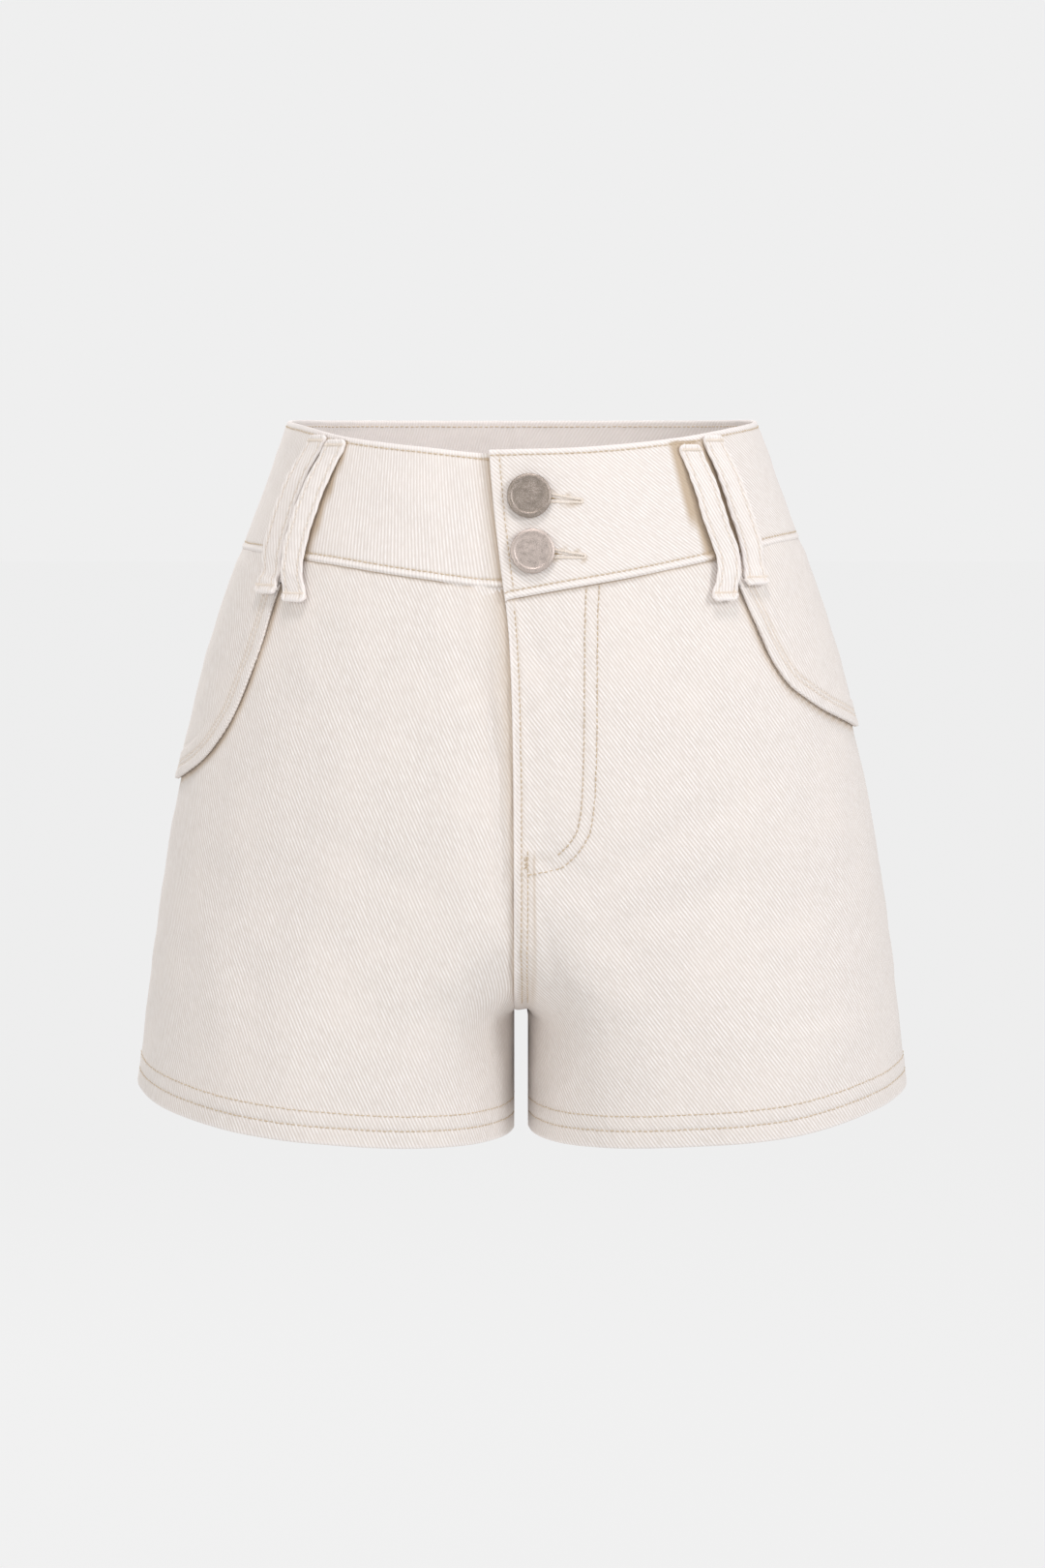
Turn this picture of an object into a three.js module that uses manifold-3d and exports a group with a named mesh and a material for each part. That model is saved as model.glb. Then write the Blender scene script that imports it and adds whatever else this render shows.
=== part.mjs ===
// High-waisted denim shorts, hollow and filled out as worn, with nobody in them.
// Millimetres, +Z up. The front looks towards -Y, and -X is the left side as seen from the front.
// The origin is the middle of the waist, level with the top of the side seams.
//
// Every piece is made from one body surface. A place on it is a side (-1 or 1), a distance around that side
// (0 at the front seam, 1 at the side seam, 2 at the back seam) and a height z.

import * as THREE from 'three';
import { mergeVertices } from 'three/addons/utils/BufferGeometryUtils.js';
import Module from 'manifold-3d';

const manifold = await Module();
manifold.setup();

const LEFT = -1;
const RIGHT = 1;

// Cloth and seams
const DENIM = 1.2;
const BAND_THICK = 2.4;
const BAND_PROUD = 0.3;
const FLAP_THICK = 1.6;
const SEAM_GAP = 0.3;
const HALF_GAP = SEAM_GAP / 2;
const HEM_TALL = 17.5;
const HEM_IN = 1.3;
const HEM_OUT = 0.3;
const PANEL_COLUMNS = 18;

// The fork between the legs
const FORK_Z = -300;
const FORK_LEFT_X = -4.3;
const FORK_RIGHT_X = 2.8;
const FORK_ROUND = 4;
const FRONT_RISE_CURVE = 80;
const BACK_RISE_CURVE = 95;
const FORK_FULLNESS = 2.9;
const FORK_BLEND = 70;
const BODY_FULLNESS = 2.3;
const BACK_SEAM_X = -0.7;

// Body at each height: half width, and depth to the front and to the back
const BODY = [
  { z: 0, width: 118.7, front: 87.0, back: 88.0 },
  { z: -40, width: 132.9, front: 93.5, back: 97.0 },
  { z: -80, width: 147.6, front: 99.5, back: 106.0 },
  { z: -120, width: 160.5, front: 105.0, back: 114.0 },
  { z: -160, width: 170.2, front: 109.0, back: 119.5 },
  { z: -200, width: 179.0, front: 111.5, back: 121.5 },
  { z: -250, width: 187.2, front: 110.5, back: 118.5 },
  { z: -300, width: 193.7, front: 107.5, back: 111.0 },
  { z: -366, width: 200.6, front: 104.0, back: 103.0 },
];

// Height of the waist edge, the seam under the band and the hem, on the left (L) and right (R), at each
// distance around
const EDGES = [
  { around: 0.0, waistL: -15.0, waistR: -13.4, seamL: -80.8, seamR: -88.2, hemL: -361.8, hemR: -361.4 },
  { around: 0.2, waistL: -14.1, waistR: -13.0, seamL: -80.1, seamR: -84.5, hemL: -361.8, hemR: -361.9 },
  { around: 0.4, waistL: -11.4, waistR: -11.9, seamL: -75.8, seamR: -77.9, hemL: -360.3, hemR: -360.2 },
  { around: 0.6, waistL: -7.6, waistR: -7.9, seamL: -69.9, seamR: -69.1, hemL: -355.3, hemR: -356.1 },
  { around: 0.8, waistL: -2.0, waistR: -2.6, seamL: -66.3, seamR: -61.6, hemL: -347.4, hemR: -347.0 },
  { around: 1.0, waistL: 0.0, waistR: 0.0, seamL: -65.6, seamR: -60.4, hemL: -341.5, hemR: -341.8 },
  { around: 1.3, waistL: -0.6, waistR: -0.6, seamL: -65.6, seamR: -63.5, hemL: -350.0, hemR: -350.5 },
  { around: 1.6, waistL: -1.0, waistR: -1.0, seamL: -66.0, seamR: -65.8, hemL: -360.0, hemR: -360.5 },
  { around: 2.0, waistL: -1.1, waistR: -1.1, seamL: -66.4, seamR: -66.4, hemL: -361.3, hemR: -362.8 },
];

// The edge of the right front, which laps over the left one: a slanted band end, the fly, then the front seam
const FLY_EDGE = [
  { z: 0, x: -17.6 },
  { z: -40, x: -14.4 },
  { z: -70, x: -11.0 },
  { z: -98, x: -7.4 },
  { z: -130, x: -5.6 },
  { z: -165, x: -4.8 },
  { z: -230, x: -4.4 },
  { z: -366, x: -4.3 },
];
const FLY_LAP_OUT = 0.8;
const FLY_LAP_WIDE = 9;
const FLY_SINK = 0.5;
const FLY_SINK_WIDE = 13;
const FLY_END_Z = -224;

// The band's ends: the right one lies over the left one, which reaches further to the right
const UNDERLAP_X = 32;
const UNDERLAP_TURN = 0.3;
const UNDERLAP_RISE = 2.5;
const BAND_STEP = 1.4;
const LAP_FLAT_X = 36;
const LAP_EASE_X = 64;
const SINK_FLAT_X = -22;
const SINK_EASE_X = -48;

// The strip behind the fly
const STRIP_LEFT_X = -22;
const STRIP_RIGHT_X = 35;
const STRIP_OFFSET = -2.2;

// Largest folds, as soft troughs (depth below 0) and ridges, in front view. span 1 is the front, -1 the back
const FOLDS = [
  { span: 1, x1: -24, z1: -96, x2: -15, z2: -262, wide: 9, depth: -1.6 },
  { span: 1, x1: -40, z1: -110, x2: -32, z2: -250, wide: 12, depth: 0.7 },
  { span: 1, x1: 10, z1: -214, x2: 30, z2: -236, wide: 8, depth: -1.4 },
  { span: 1, x1: 13, z1: -242, x2: 22, z2: -345, wide: 9, depth: -2.2 },
  { span: 1, x1: -16, z1: -262, x2: -26, z2: -345, wide: 10, depth: -1.5 },
  { span: 1, x1: 34, z1: -226, x2: 128, z2: -176, wide: 8, depth: -0.9 },
  { span: 1, x1: 36, z1: -250, x2: 120, z2: -224, wide: 9, depth: -0.8 },
  { span: 1, x1: -34, z1: -240, x2: -120, z2: -196, wide: 9, depth: -0.8 },
  { span: 1, x1: -112, z1: -200, x2: -150, z2: -330, wide: 15, depth: -1.2 },
  { span: 1, x1: 112, z1: -205, x2: 152, z2: -330, wide: 15, depth: -1.2 },
  { span: -1, x1: -14, z1: -235, x2: -30, z2: -340, wide: 10, depth: -2.0 },
  { span: -1, x1: 13, z1: -238, x2: 28, z2: -338, wide: 10, depth: -2.2 },
  { span: -1, x1: -40, z1: -276, x2: -128, z2: -262, wide: 10, depth: -1.6 },
  { span: -1, x1: 38, z1: -280, x2: 132, z2: -268, wide: 10, depth: -1.4 },
  { span: -1, x1: -30, z1: -112, x2: -96, z2: -124, wide: 8, depth: -0.9 },
  { span: -1, x1: 26, z1: -104, x2: 88, z2: -120, wide: 8, depth: -0.9 },
];

// Hip flaps: the lower edge from the front corner to its lowest point. The back half mirrors it
const FLAP_EDGE = [
  { leftAt: 0.698, leftZ: -75, rightAt: 0.653, rightZ: -74 },
  { leftAt: 0.709, leftZ: -93, rightAt: 0.663, rightZ: -89 },
  { leftAt: 0.715, leftZ: -112, rightAt: 0.675, rightZ: -104 },
  { leftAt: 0.731, leftZ: -131, rightAt: 0.69, rightZ: -119 },
  { leftAt: 0.753, leftZ: -148, rightAt: 0.717, rightZ: -131 },
  { leftAt: 0.785, leftZ: -161, rightAt: 0.755, rightZ: -138.5 },
  { leftAt: 0.825, leftZ: -171, rightAt: 0.805, rightZ: -145.5 },
  { leftAt: 0.882, leftZ: -178, rightAt: 0.868, rightZ: -151 },
  { leftAt: 0.953, leftZ: -183, rightAt: 0.946, rightZ: -156 },
  { leftAt: 1.03, leftZ: -185, rightAt: 1.035, rightZ: -158.5 },
];
const FLAP_STEPS_UP = 6;
const FLAP_SEAT = 0.7;
const FLAP_LIFT = 0.9;
const FLAP_TOP_GAP = 0.9;

// Belt loops: top is how far the upper end lies under the waist edge, bottom the height of the lower end, and
// rest how far that end lies out. a to e are the distance around at five heights, from top to bottom
const LOOP_WIDE = 12.5;
const LOOP_TILT = 0.28;
const LOOPS = [
  {
    name: 'loop_left_outer', side: LEFT, top: 2.5, bottom: -87, rest: 5.4,
    a: 0.7, b: 0.728, c: 0.739, d: 0.738, e: 0.722,
  },
  {
    name: 'loop_left_inner', side: LEFT, top: 2.5, bottom: -90, rest: 4.0,
    a: 0.634, b: 0.658, c: 0.672, d: 0.673, e: 0.648,
  },
  {
    name: 'loop_right_inner', side: RIGHT, top: 4.5, bottom: -89, rest: 4.0,
    a: 0.634, b: 0.64, c: 0.64, d: 0.643, e: 0.612,
  },
  {
    name: 'loop_right_outer', side: RIGHT, top: 2.0, bottom: -82, rest: 4.8,
    a: 0.7, b: 0.706, c: 0.707, d: 0.707, e: 0.692,
  },
  {
    name: 'loop_back_left', side: LEFT, top: 3.0, bottom: -78, rest: 3.1,
    a: 1.832, b: 1.832, c: 1.832, d: 1.832, e: 1.832,
  },
  {
    name: 'loop_back_right', side: RIGHT, top: 3.0, bottom: -78, rest: 3.1,
    a: 1.832, b: 1.832, c: 1.832, d: 1.832, e: 1.832,
  },
];
// How far a loop's middle layer stands off along it, and its thickness. Both ends are turned under
const LOOP_RUN = [
  { along: 0.0, lift: 3.1, thick: 2.6 },
  { along: 0.08, lift: 3.1, thick: 2.6 },
  { along: 0.1, lift: 3.4, thick: 1.8 },
  { along: 0.26, lift: 5.3, thick: 1.8 },
  { along: 0.42, lift: 5.9, thick: 1.8 },
  { along: 0.58, lift: 5.9, thick: 1.8 },
  { along: 0.74, lift: 5.4, thick: 1.8 },
  { along: 0.88, lift: 4.6, thick: 1.8 },
  { along: 0.9, lift: 0, thick: 2.6 },
  { along: 1.0, lift: 0, thick: 2.6 },
];

// Buttons: a flat cap with a raised rim on a short shank that passes the buttonhole
const BUTTON_R = 11;
const BUTTON_TALL = 3.1;
const BUTTON_SHANK_R = 2.6;
const BUTTONS = [
  { name: 'button_upper', x: 3.3, z: -36.2 },
  { name: 'button_lower', x: 4.9, z: -63.4 },
];
const HOLE_R = 3.1;
const SLIT_LONG = 15;
const SLIT_TALL = 1.2;

function ease(from, to, value) {
  return THREE.MathUtils.smoothstep(value, from, to);
}

function mix(a, b, t) {
  return a + (b - a) * t;
}

// A smooth curve through one column of a table
function curve(rows, key, column, at) {
  const last = rows.length - 1;
  const order = Math.sign(rows[last][key] - rows[0][key]);
  const place = (row) => row[key] * order;
  const x = THREE.MathUtils.clamp(at * order, place(rows[0]), place(rows[last]));
  let i = 0;
  while (i < last - 1 && place(rows[i + 1]) < x) {
    i += 1;
  }
  const step = (n) => place(rows[n + 1]) - place(rows[n]);
  const rate = (n) => (rows[n + 1][column] - rows[n][column]) / step(n);
  const slope = (n) => {
    if (n === 0) {
      return rate(0);
    }
    if (n === last) {
      return rate(last - 1);
    }
    return (step(n) * rate(n - 1) + step(n - 1) * rate(n)) / (step(n) + step(n - 1));
  };
  const t = (x - place(rows[i])) / step(i);
  const near = rows[i][column] * (1 + 2 * t) * (1 - t) ** 2 + rows[i + 1][column] * t * t * (3 - 2 * t);
  return near + step(i) * (slope(i) * t * (1 - t) ** 2 + slope(i + 1) * t * t * (t - 1));
}

function edgeZ(name, side, around) {
  return curve(EDGES, 'around', name + (side === LEFT ? 'L' : 'R'), around);
}

// Where the innermost edge of a side lies: the front or back seam, or below the fork the leg's inner edge
function seamX(isBack, z) {
  return isBack ? BACK_SEAM_X : curve(FLY_EDGE, 'z', 'x', z);
}

function innerX(side, isBack, z) {
  const down = THREE.MathUtils.clamp((FORK_Z - z) / FORK_ROUND, 0, 1);
  const rounded = Math.sqrt(1 - (1 - down) ** 2);
  return mix(seamX(isBack, z), side === LEFT ? FORK_LEFT_X : FORK_RIGHT_X, rounded);
}

// The body surface. Near the fork the trunk turns into two legs through one smooth saddle
function body(side, around, z) {
  const isBack = around > 1;
  const share = isBack ? 2 - around : around;
  const across = (1 - Math.cos(Math.PI * share)) / 2;
  const width = curve(BODY, 'z', 'width', z);
  const depth = curve(BODY, 'z', isBack ? 'back' : 'front', z);
  const x = mix(innerX(side, isBack, z), side * width, across);

  const legEdge = side === LEFT ? FORK_LEFT_X : FORK_RIGHT_X;
  const edge = side * mix(legEdge, seamX(isBack, z), ease(FORK_Z, FORK_Z + FORK_BLEND, z));
  const fromEdge = THREE.MathUtils.clamp((side * x - edge) / (width - edge), 0, 1);
  const rise = (z - FORK_Z) / (isBack ? BACK_RISE_CURVE : FRONT_RISE_CURVE);
  const blend = 1.2 * fromEdge;
  const above = (rise + Math.sqrt(rise * rise + blend * blend)) / 2;
  const reach = Math.min(0.5, fromEdge + above / 2);
  const saddle = (1 - (1 - 2 * reach) ** FORK_FULLNESS) ** (1 / FORK_FULLNESS);

  const trunk = (1 - Math.min(1, Math.abs(x) / width) ** BODY_FULLNESS) ** (1 / BODY_FULLNESS);
  const leg = across < 0.5 ? 1 : Math.sin(Math.PI * share);
  const y = depth * saddle * mix(leg, trunk, ease(FORK_Z - 45, FORK_Z + 85, z));
  return new THREE.Vector3(x, isBack ? y : -y, z);
}

// Direction straight out of the body
function outward(side, around, z) {
  const low = Math.max(0, around - 0.02);
  const high = Math.min(2, around + 0.02);
  const sideways = body(side, high, z).sub(body(side, low, z));
  const upward = body(side, around, z + 1).sub(body(side, around, z - 1));
  return sideways.cross(upward).multiplyScalar(side).normalize();
}

function foldsAt(isBack, x, z) {
  let total = 0;
  for (const fold of FOLDS.filter((row) => (row.span === -1) === isBack)) {
    const run = new THREE.Vector2(fold.x2 - fold.x1, fold.z2 - fold.z1);
    const here = new THREE.Vector2(x - fold.x1, z - fold.z1);
    const t = here.dot(run) / run.lengthSq();
    const off = here.cross(run) / run.length();
    const fade = Math.exp(-(((t - 0.5) / 0.42) ** 4));
    total += fold.depth * fade * Math.exp(-((off / fold.wide) ** 2));
  }
  return total;
}

// Distance around at which a side of the front has a given x
function aroundAt(side, x, z) {
  const inner = innerX(side, false, z);
  const width = curve(BODY, 'z', 'width', z);
  const across = THREE.MathUtils.clamp((x - inner) / (side * width - inner), 0, 1);
  return Math.acos(1 - 2 * across) / Math.PI;
}

// A point at some distance out from the body surface
function skin(side, around, z, out) {
  return body(side, around, z).addScaledVector(outward(side, around, z), out);
}

// A closed wall from two grids of points: rows[r][c] outside and inside
function wall(outer, inner) {
  const rows = outer.length;
  const cols = outer[0].length;
  const count = rows * cols;
  const points = [...outer.flat(), ...inner.flat()];
  const index = [];
  const quad = (a, b, c, d) => index.push(a, b, c, a, c, d);
  for (let r = 0; r < rows - 1; r += 1) {
    for (let c = 0; c < cols - 1; c += 1) {
      const a = r * cols + c;
      quad(a, a + 1, a + cols + 1, a + cols);
      quad(count + a, count + a + cols, count + a + cols + 1, count + a + 1);
    }
  }
  for (let c = 0; c < cols - 1; c += 1) {
    const end = (rows - 1) * cols + c;
    quad(c, count + c, count + c + 1, c + 1);
    quad(end + 1, count + end + 1, count + end, end);
  }
  for (let r = 0; r < rows - 1; r += 1) {
    const left = r * cols;
    const right = left + cols - 1;
    quad(left + cols, count + left + cols, count + left, left);
    quad(right, count + right, count + right + cols, right + cols);
  }
  return closedGeometry(points, index);
}

// Signed volume tells whether the faces point out. If they don't, all are turned
function closedGeometry(points, index) {
  let volume = 0;
  for (let i = 0; i < index.length; i += 3) {
    const [a, b, c] = [0, 1, 2].map((n) => points[index[i + n]]);
    volume += a.dot(new THREE.Vector3().crossVectors(b, c));
  }
  const turned = volume < 0 ? index.slice().reverse() : index;
  const geometry = new THREE.BufferGeometry();
  const flat = points.flatMap((p) => [p.x, p.y, p.z]);
  geometry.setAttribute('position', new THREE.Float32BufferAttribute(flat, 3));
  geometry.setIndex(turned);
  return geometry;
}

function grid(rows, cols, place) {
  const outer = [];
  const inner = [];
  for (const r of rows) {
    const pairs = cols.map((c) => place(r, c));
    outer.push(pairs.map((p) => p.outer));
    inner.push(pairs.map((p) => p.inner));
  }
  return wall(outer, inner);
}

function steps(from, to, count) {
  return Array.from({ length: count + 1 }, (_, i) => mix(from, to, i / count));
}

// Heights of a panel's rows, as shares of the way from the band seam to the top of the hem. They crowd at the
// fork
function panelRows() {
  const top = -81;
  const end = -361 + HEM_TALL;
  const curveTop = FORK_Z + FRONT_RISE_CURVE;
  const trunk = steps(top, curveTop, 6);
  const saddle = steps(0, 1, 6).slice(1).map((t) => mix(FORK_Z, curveTop, 1 - Math.sin((t * Math.PI) / 2)));
  const leg = [FORK_Z - 1, FORK_Z - FORK_ROUND, FORK_Z - 20, end];
  const main = [...trunk, ...saddle, ...leg].map((z) => ({ share: (top - z) / (top - end), hem: null }));
  const hem = [0.97, 0.5, 0.06, 0].map((up) => ({ share: 1, hem: up * HEM_TALL }));
  return [...main, ...hem];
}

// How far a front lies out of the body surface beside the fly edge
function flyLap(side, x, z) {
  const fromEdge = Math.abs(x - curve(FLY_EDGE, 'z', 'x', z));
  const fade = ease(FORK_Z + 4, FORK_Z + 60, z);
  if (side === RIGHT) {
    return FLY_LAP_OUT * fade * (1 - ease(2, FLY_LAP_WIDE, fromEdge));
  }
  return -FLY_SINK * fade * (1 - ease(1, FLY_SINK_WIDE, fromEdge));
}

// One front or back: from the band seam to the hem, from its middle seam to its side seam
function panel(side, isBack) {
  const at = (share) => (isBack ? 2 - share : share);
  return grid(panelRows(), steps(0, 1, PANEL_COLUMNS), (row, share) => {
    const around = at(share);
    const top = edgeZ('seam', side, around) - SEAM_GAP;
    const hem = edgeZ('hem', side, around);
    const z = row.hem === null ? mix(top, hem + HEM_TALL, row.share) : hem + row.hem;
    const middle = body(side, around, z);
    const lap = isBack ? 0 : flyLap(side, middle.x, z);
    const shift = lap + foldsAt(isBack, middle.x, z);
    const folded = row.hem !== null;
    const rolled = row.hem === 0 ? 0.4 : 1;
    const direction = outward(side, around, z);
    const place = (out) => {
      const p = middle.clone().addScaledVector(direction, shift + out);
      const limit = innerX(side, isBack, z) + side * HALF_GAP;
      p.x = side === LEFT ? Math.min(p.x, limit) : Math.max(p.x, limit);
      p.y = isBack ? Math.max(p.y, HALF_GAP) : Math.min(p.y, -HALF_GAP);
      return p;
    };
    return {
      outer: place((DENIM / 2 + (folded ? HEM_OUT : 0)) * rolled),
      inner: place(-(DENIM / 2 + (folded ? HEM_IN : 0)) * rolled),
    };
  });
}

// The band runs once round the waist: from turn 0, the left front at the fly edge, over 2, the back seam, to 4,
// the right front at the fly edge. Below 0 it goes on to the right, under the right end
function bandPoint(turn, up, out) {
  const side = turn <= 2 ? LEFT : RIGHT;
  const around = Math.max(0, side === LEFT ? turn : 4 - turn);
  const passed = Math.max(0, -turn / UNDERLAP_TURN);
  const low = edgeZ('seam', side, around) + UNDERLAP_RISE * passed;
  const z = mix(low, edgeZ('waist', side, around), up);
  if (around > 1) {
    return skin(side, around, z, out + BAND_PROUD);
  }
  if (turn >= 0) {
    const x = body(side, around, z).x;
    const sink = 1 - ease(-SINK_FLAT_X, -SINK_EASE_X, -x);
    const raise = 1 - ease(LAP_FLAT_X, LAP_EASE_X, x);
    const shift = side === LEFT ? -BAND_STEP * sink : BAND_STEP * raise;
    return skin(side, around, z, out + BAND_PROUD + shift);
  }
  const x = mix(curve(FLY_EDGE, 'z', 'x', z), UNDERLAP_X, passed);
  return skin(RIGHT, aroundAt(RIGHT, x, z), z, out + BAND_PROUD - BAND_STEP);
}

function waistband() {
  const turns = [
    ...steps(-UNDERLAP_TURN, 0, 5),
    ...steps(0, 1, PANEL_COLUMNS).slice(1),
    ...steps(1, 3, 2 * PANEL_COLUMNS).slice(1),
    ...steps(3, 4, PANEL_COLUMNS).slice(1),
  ];
  const levels = [0, 0.04, 0.12, 0.35, 0.65, 0.95, 1];
  const geometry = grid(levels, turns, (up, turn) => {
    const rolled = up === 0 || up === 1 ? 0.6 : 1;
    return {
      outer: bandPoint(turn, up, (BAND_THICK / 2) * rolled),
      inner: bandPoint(turn, up, -(BAND_THICK / 2) * rolled),
    };
  });
  return cutButtonholes(geometry);
}

// A short solid block standing on the right front: an outline in front view, between two distances out
function plug(outline, centre, inside, outside) {
  const points = [centre, ...outline];
  const stand = (out) => points.map((p) => skin(RIGHT, aroundAt(RIGHT, p.x, p.y), p.y, out));
  const all = [...stand(outside), ...stand(inside)];
  const count = points.length;
  const index = [];
  for (let i = 1; i < count; i += 1) {
    const next = i === count - 1 ? 1 : i + 1;
    index.push(0, i, next, count, count + next, count + i);
    index.push(i, count + i, count + next, i, count + next, next);
  }
  return closedGeometry(all, index);
}

function toManifold(geometry) {
  const bare = mergeVertices(geometry, 1e-4);
  return new manifold.Manifold(new manifold.Mesh({
    numProp: 3,
    vertProperties: bare.getAttribute('position').array,
    triVerts: Uint32Array.from(bare.getIndex().array),
  }));
}

function fromManifold(solid) {
  const mesh = solid.getMesh();
  const geometry = new THREE.BufferGeometry();
  geometry.setAttribute('position', new THREE.Float32BufferAttribute(mesh.vertProperties, 3));
  geometry.setIndex(Array.from(mesh.triVerts));
  return geometry;
}

// Each buttonhole is a round eye behind the button and a slit to the right, through the upper end only
function cutButtonholes(geometry) {
  const inside = BAND_PROUD + BAND_STEP - BAND_THICK / 2 - SEAM_GAP / 2;
  const outside = 8;
  let solid = toManifold(geometry);
  for (const button of BUTTONS) {
    const centre = new THREE.Vector2(button.x, button.z);
    const eye = steps(0, 2 * Math.PI, 12).slice(1).map((angle) => (
      centre.clone().add(new THREE.Vector2(Math.cos(angle), Math.sin(angle)).multiplyScalar(HOLE_R))
    ));
    const far = button.x + HOLE_R + SLIT_LONG;
    const lip = (from, to, rise) => steps(from, to, 4).map((x) => new THREE.Vector2(x, button.z + rise));
    const slit = [...lip(button.x, far, SLIT_TALL / 2), ...lip(far, button.x, -SLIT_TALL / 2)];
    const middle = new THREE.Vector2((button.x + far) / 2, button.z);
    solid = solid.subtract(toManifold(plug(eye, centre, inside, outside)));
    solid = solid.subtract(toManifold(plug(slit, middle, inside, outside)));
  }
  return fromManifold(solid);
}

// A flap hangs from the band seam over the side seam, and its rounded lower edge stands a little off
function hipFlap(side) {
  const atKey = side === LEFT ? 'leftAt' : 'rightAt';
  const zKey = side === LEFT ? 'leftZ' : 'rightZ';
  const half = FLAP_EDGE.length - 1;
  const rows = FLAP_EDGE.map((row, n) => ({ n, at: row[atKey], z: row[zKey] }));
  const lowest = rows[half].at;
  const edge = (t) => {
    const n = t <= half ? t : 2 * half - t;
    const at = curve(rows, 'n', 'at', n);
    return { at: t <= half ? at : 2 * lowest - at, z: curve(rows, 'n', 'z', n) };
  };
  const front = rows[0].at;
  return grid(steps(0, 1, FLAP_STEPS_UP), steps(0, 2 * half, 2 * half), (down, t) => {
    const low = edge(t);
    const topAt = mix(front, 2 * lowest - front, t / (2 * half));
    const topZ = edgeZ('seam', side, topAt) - FLAP_TOP_GAP;
    const around = mix(topAt, low.at, down);
    const z = mix(topZ, low.z, down);
    const x = body(side, around, z).x;
    const shift = foldsAt(around > 1, x, z);
    const free = FLAP_LIFT * down ** 4;
    const base = DENIM / 2 + FLAP_SEAT + Math.max(shift, 0) + free;
    const thick = mix(FLAP_THICK * 0.4, FLAP_THICK, ease(0, 0.15, down)) * (down === 1 ? 0.6 : 1);
    const under = base + (down === 1 ? FLAP_THICK * 0.2 : 0);
    return { outer: skin(side, around, z, under + thick), inner: skin(side, around, z, under) };
  });
}

function beltLoop(loop) {
  const run = ['a', 'b', 'c', 'd', 'e'].map((key, n) => ({ n: n / 4, at: loop[key] }));
  const topZ = edgeZ('waist', loop.side, loop.a) - loop.top;
  const across = [-1, -0.45, 0.45, 1];
  return grid(LOOP_RUN, across, (row, w) => {
    const z = mix(topZ, loop.bottom, row.along);
    const around = curve(run, 'n', 'at', row.along);
    const out = outward(loop.side, around, z);
    const level = body(loop.side, around + 0.01, z).sub(body(loop.side, around - 0.01, z)).setZ(0).normalize();
    const tilt = around > 1 ? 0 : LOOP_TILT * Math.sin(Math.PI * row.along);
    const along = level.clone().multiplyScalar(Math.cos(tilt)).addScaledVector(out, Math.sin(tilt));
    const face = out.clone().multiplyScalar(Math.cos(tilt)).addScaledVector(level, -Math.sin(tilt));
    const edgeThin = Math.abs(w) === 1 ? 0.72 : 1;
    const lift = row.lift === 0 ? loop.rest : row.lift;
    const centre = skin(loop.side, around, z, lift).addScaledVector(along, (w * LOOP_WIDE) / 2);
    return {
      outer: centre.clone().addScaledVector(face, (row.thick / 2) * edgeThin),
      inner: centre.clone().addScaledVector(face, (-row.thick / 2) * edgeThin),
    };
  });
}

function flyUnderlap() {
  const columns = steps(STRIP_LEFT_X, STRIP_RIGHT_X, 5);
  return grid(steps(0, 1, 8), columns, (down, x) => {
    const topZ = edgeZ('seam', x < 0 ? LEFT : RIGHT, 0.15) - 2 * SEAM_GAP;
    const z = mix(topZ, FLY_END_Z, down);
    const own = x < curve(FLY_EDGE, 'z', 'x', z) ? LEFT : RIGHT;
    const around = aroundAt(own, x, z);
    const shift = STRIP_OFFSET + Math.min(0, foldsAt(false, x, z));
    return {
      outer: skin(own, around, z, shift + DENIM / 2),
      inner: skin(own, around, z, shift - DENIM / 2),
    };
  });
}

function buttonGeometry() {
  const underlapFace = BAND_PROUD - BAND_STEP + BAND_THICK / 2;
  const bandFace = BAND_PROUD + BAND_STEP + BAND_THICK / 2;
  const shank = bandFace - underlapFace;
  const profile = [
    [0, -shank],
    [BUTTON_SHANK_R, -shank],
    [BUTTON_SHANK_R, 0],
    [BUTTON_R - 0.9, 0],
    [BUTTON_R, 0.9],
    [BUTTON_R, BUTTON_TALL - 0.9],
    [BUTTON_R - 0.7, BUTTON_TALL - 0.1],
    [BUTTON_R - 1.6, BUTTON_TALL],
    [BUTTON_R - 2.3, BUTTON_TALL - 0.5],
    [BUTTON_R - 4.5, BUTTON_TALL - 0.35],
    [0, BUTTON_TALL - 0.1],
  ].map(([r, h]) => new THREE.Vector2(r, h));
  const geometry = new THREE.LatheGeometry(profile, 24);
  geometry.deleteAttribute('normal');
  geometry.deleteAttribute('uv');
  return mergeVertices(geometry, 1e-4);
}

function buttonMesh(button) {
  const mesh = new THREE.Mesh(buttonGeometry(), paint('metal'));
  const around = aroundAt(RIGHT, button.x, button.z);
  const seat = BAND_PROUD + BAND_STEP + BAND_THICK / 2 + SEAM_GAP;
  mesh.position.copy(skin(RIGHT, around, button.z, seat));
  mesh.quaternion.setFromUnitVectors(new THREE.Vector3(0, 1, 0), outward(RIGHT, around, button.z));
  return mesh;
}

const PAINTS = {
  denim: { color: 0xece3db, roughness: 0.92, metalness: 0 },
  metal: { color: 0xa79c90, roughness: 0.42, metalness: 0.9 },
};

function paint(kind) {
  return new THREE.MeshStandardMaterial(PAINTS[kind]);
}

const shorts = new THREE.Group();

function add(name, mesh) {
  mesh.name = name;
  shorts.add(mesh);
}

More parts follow.
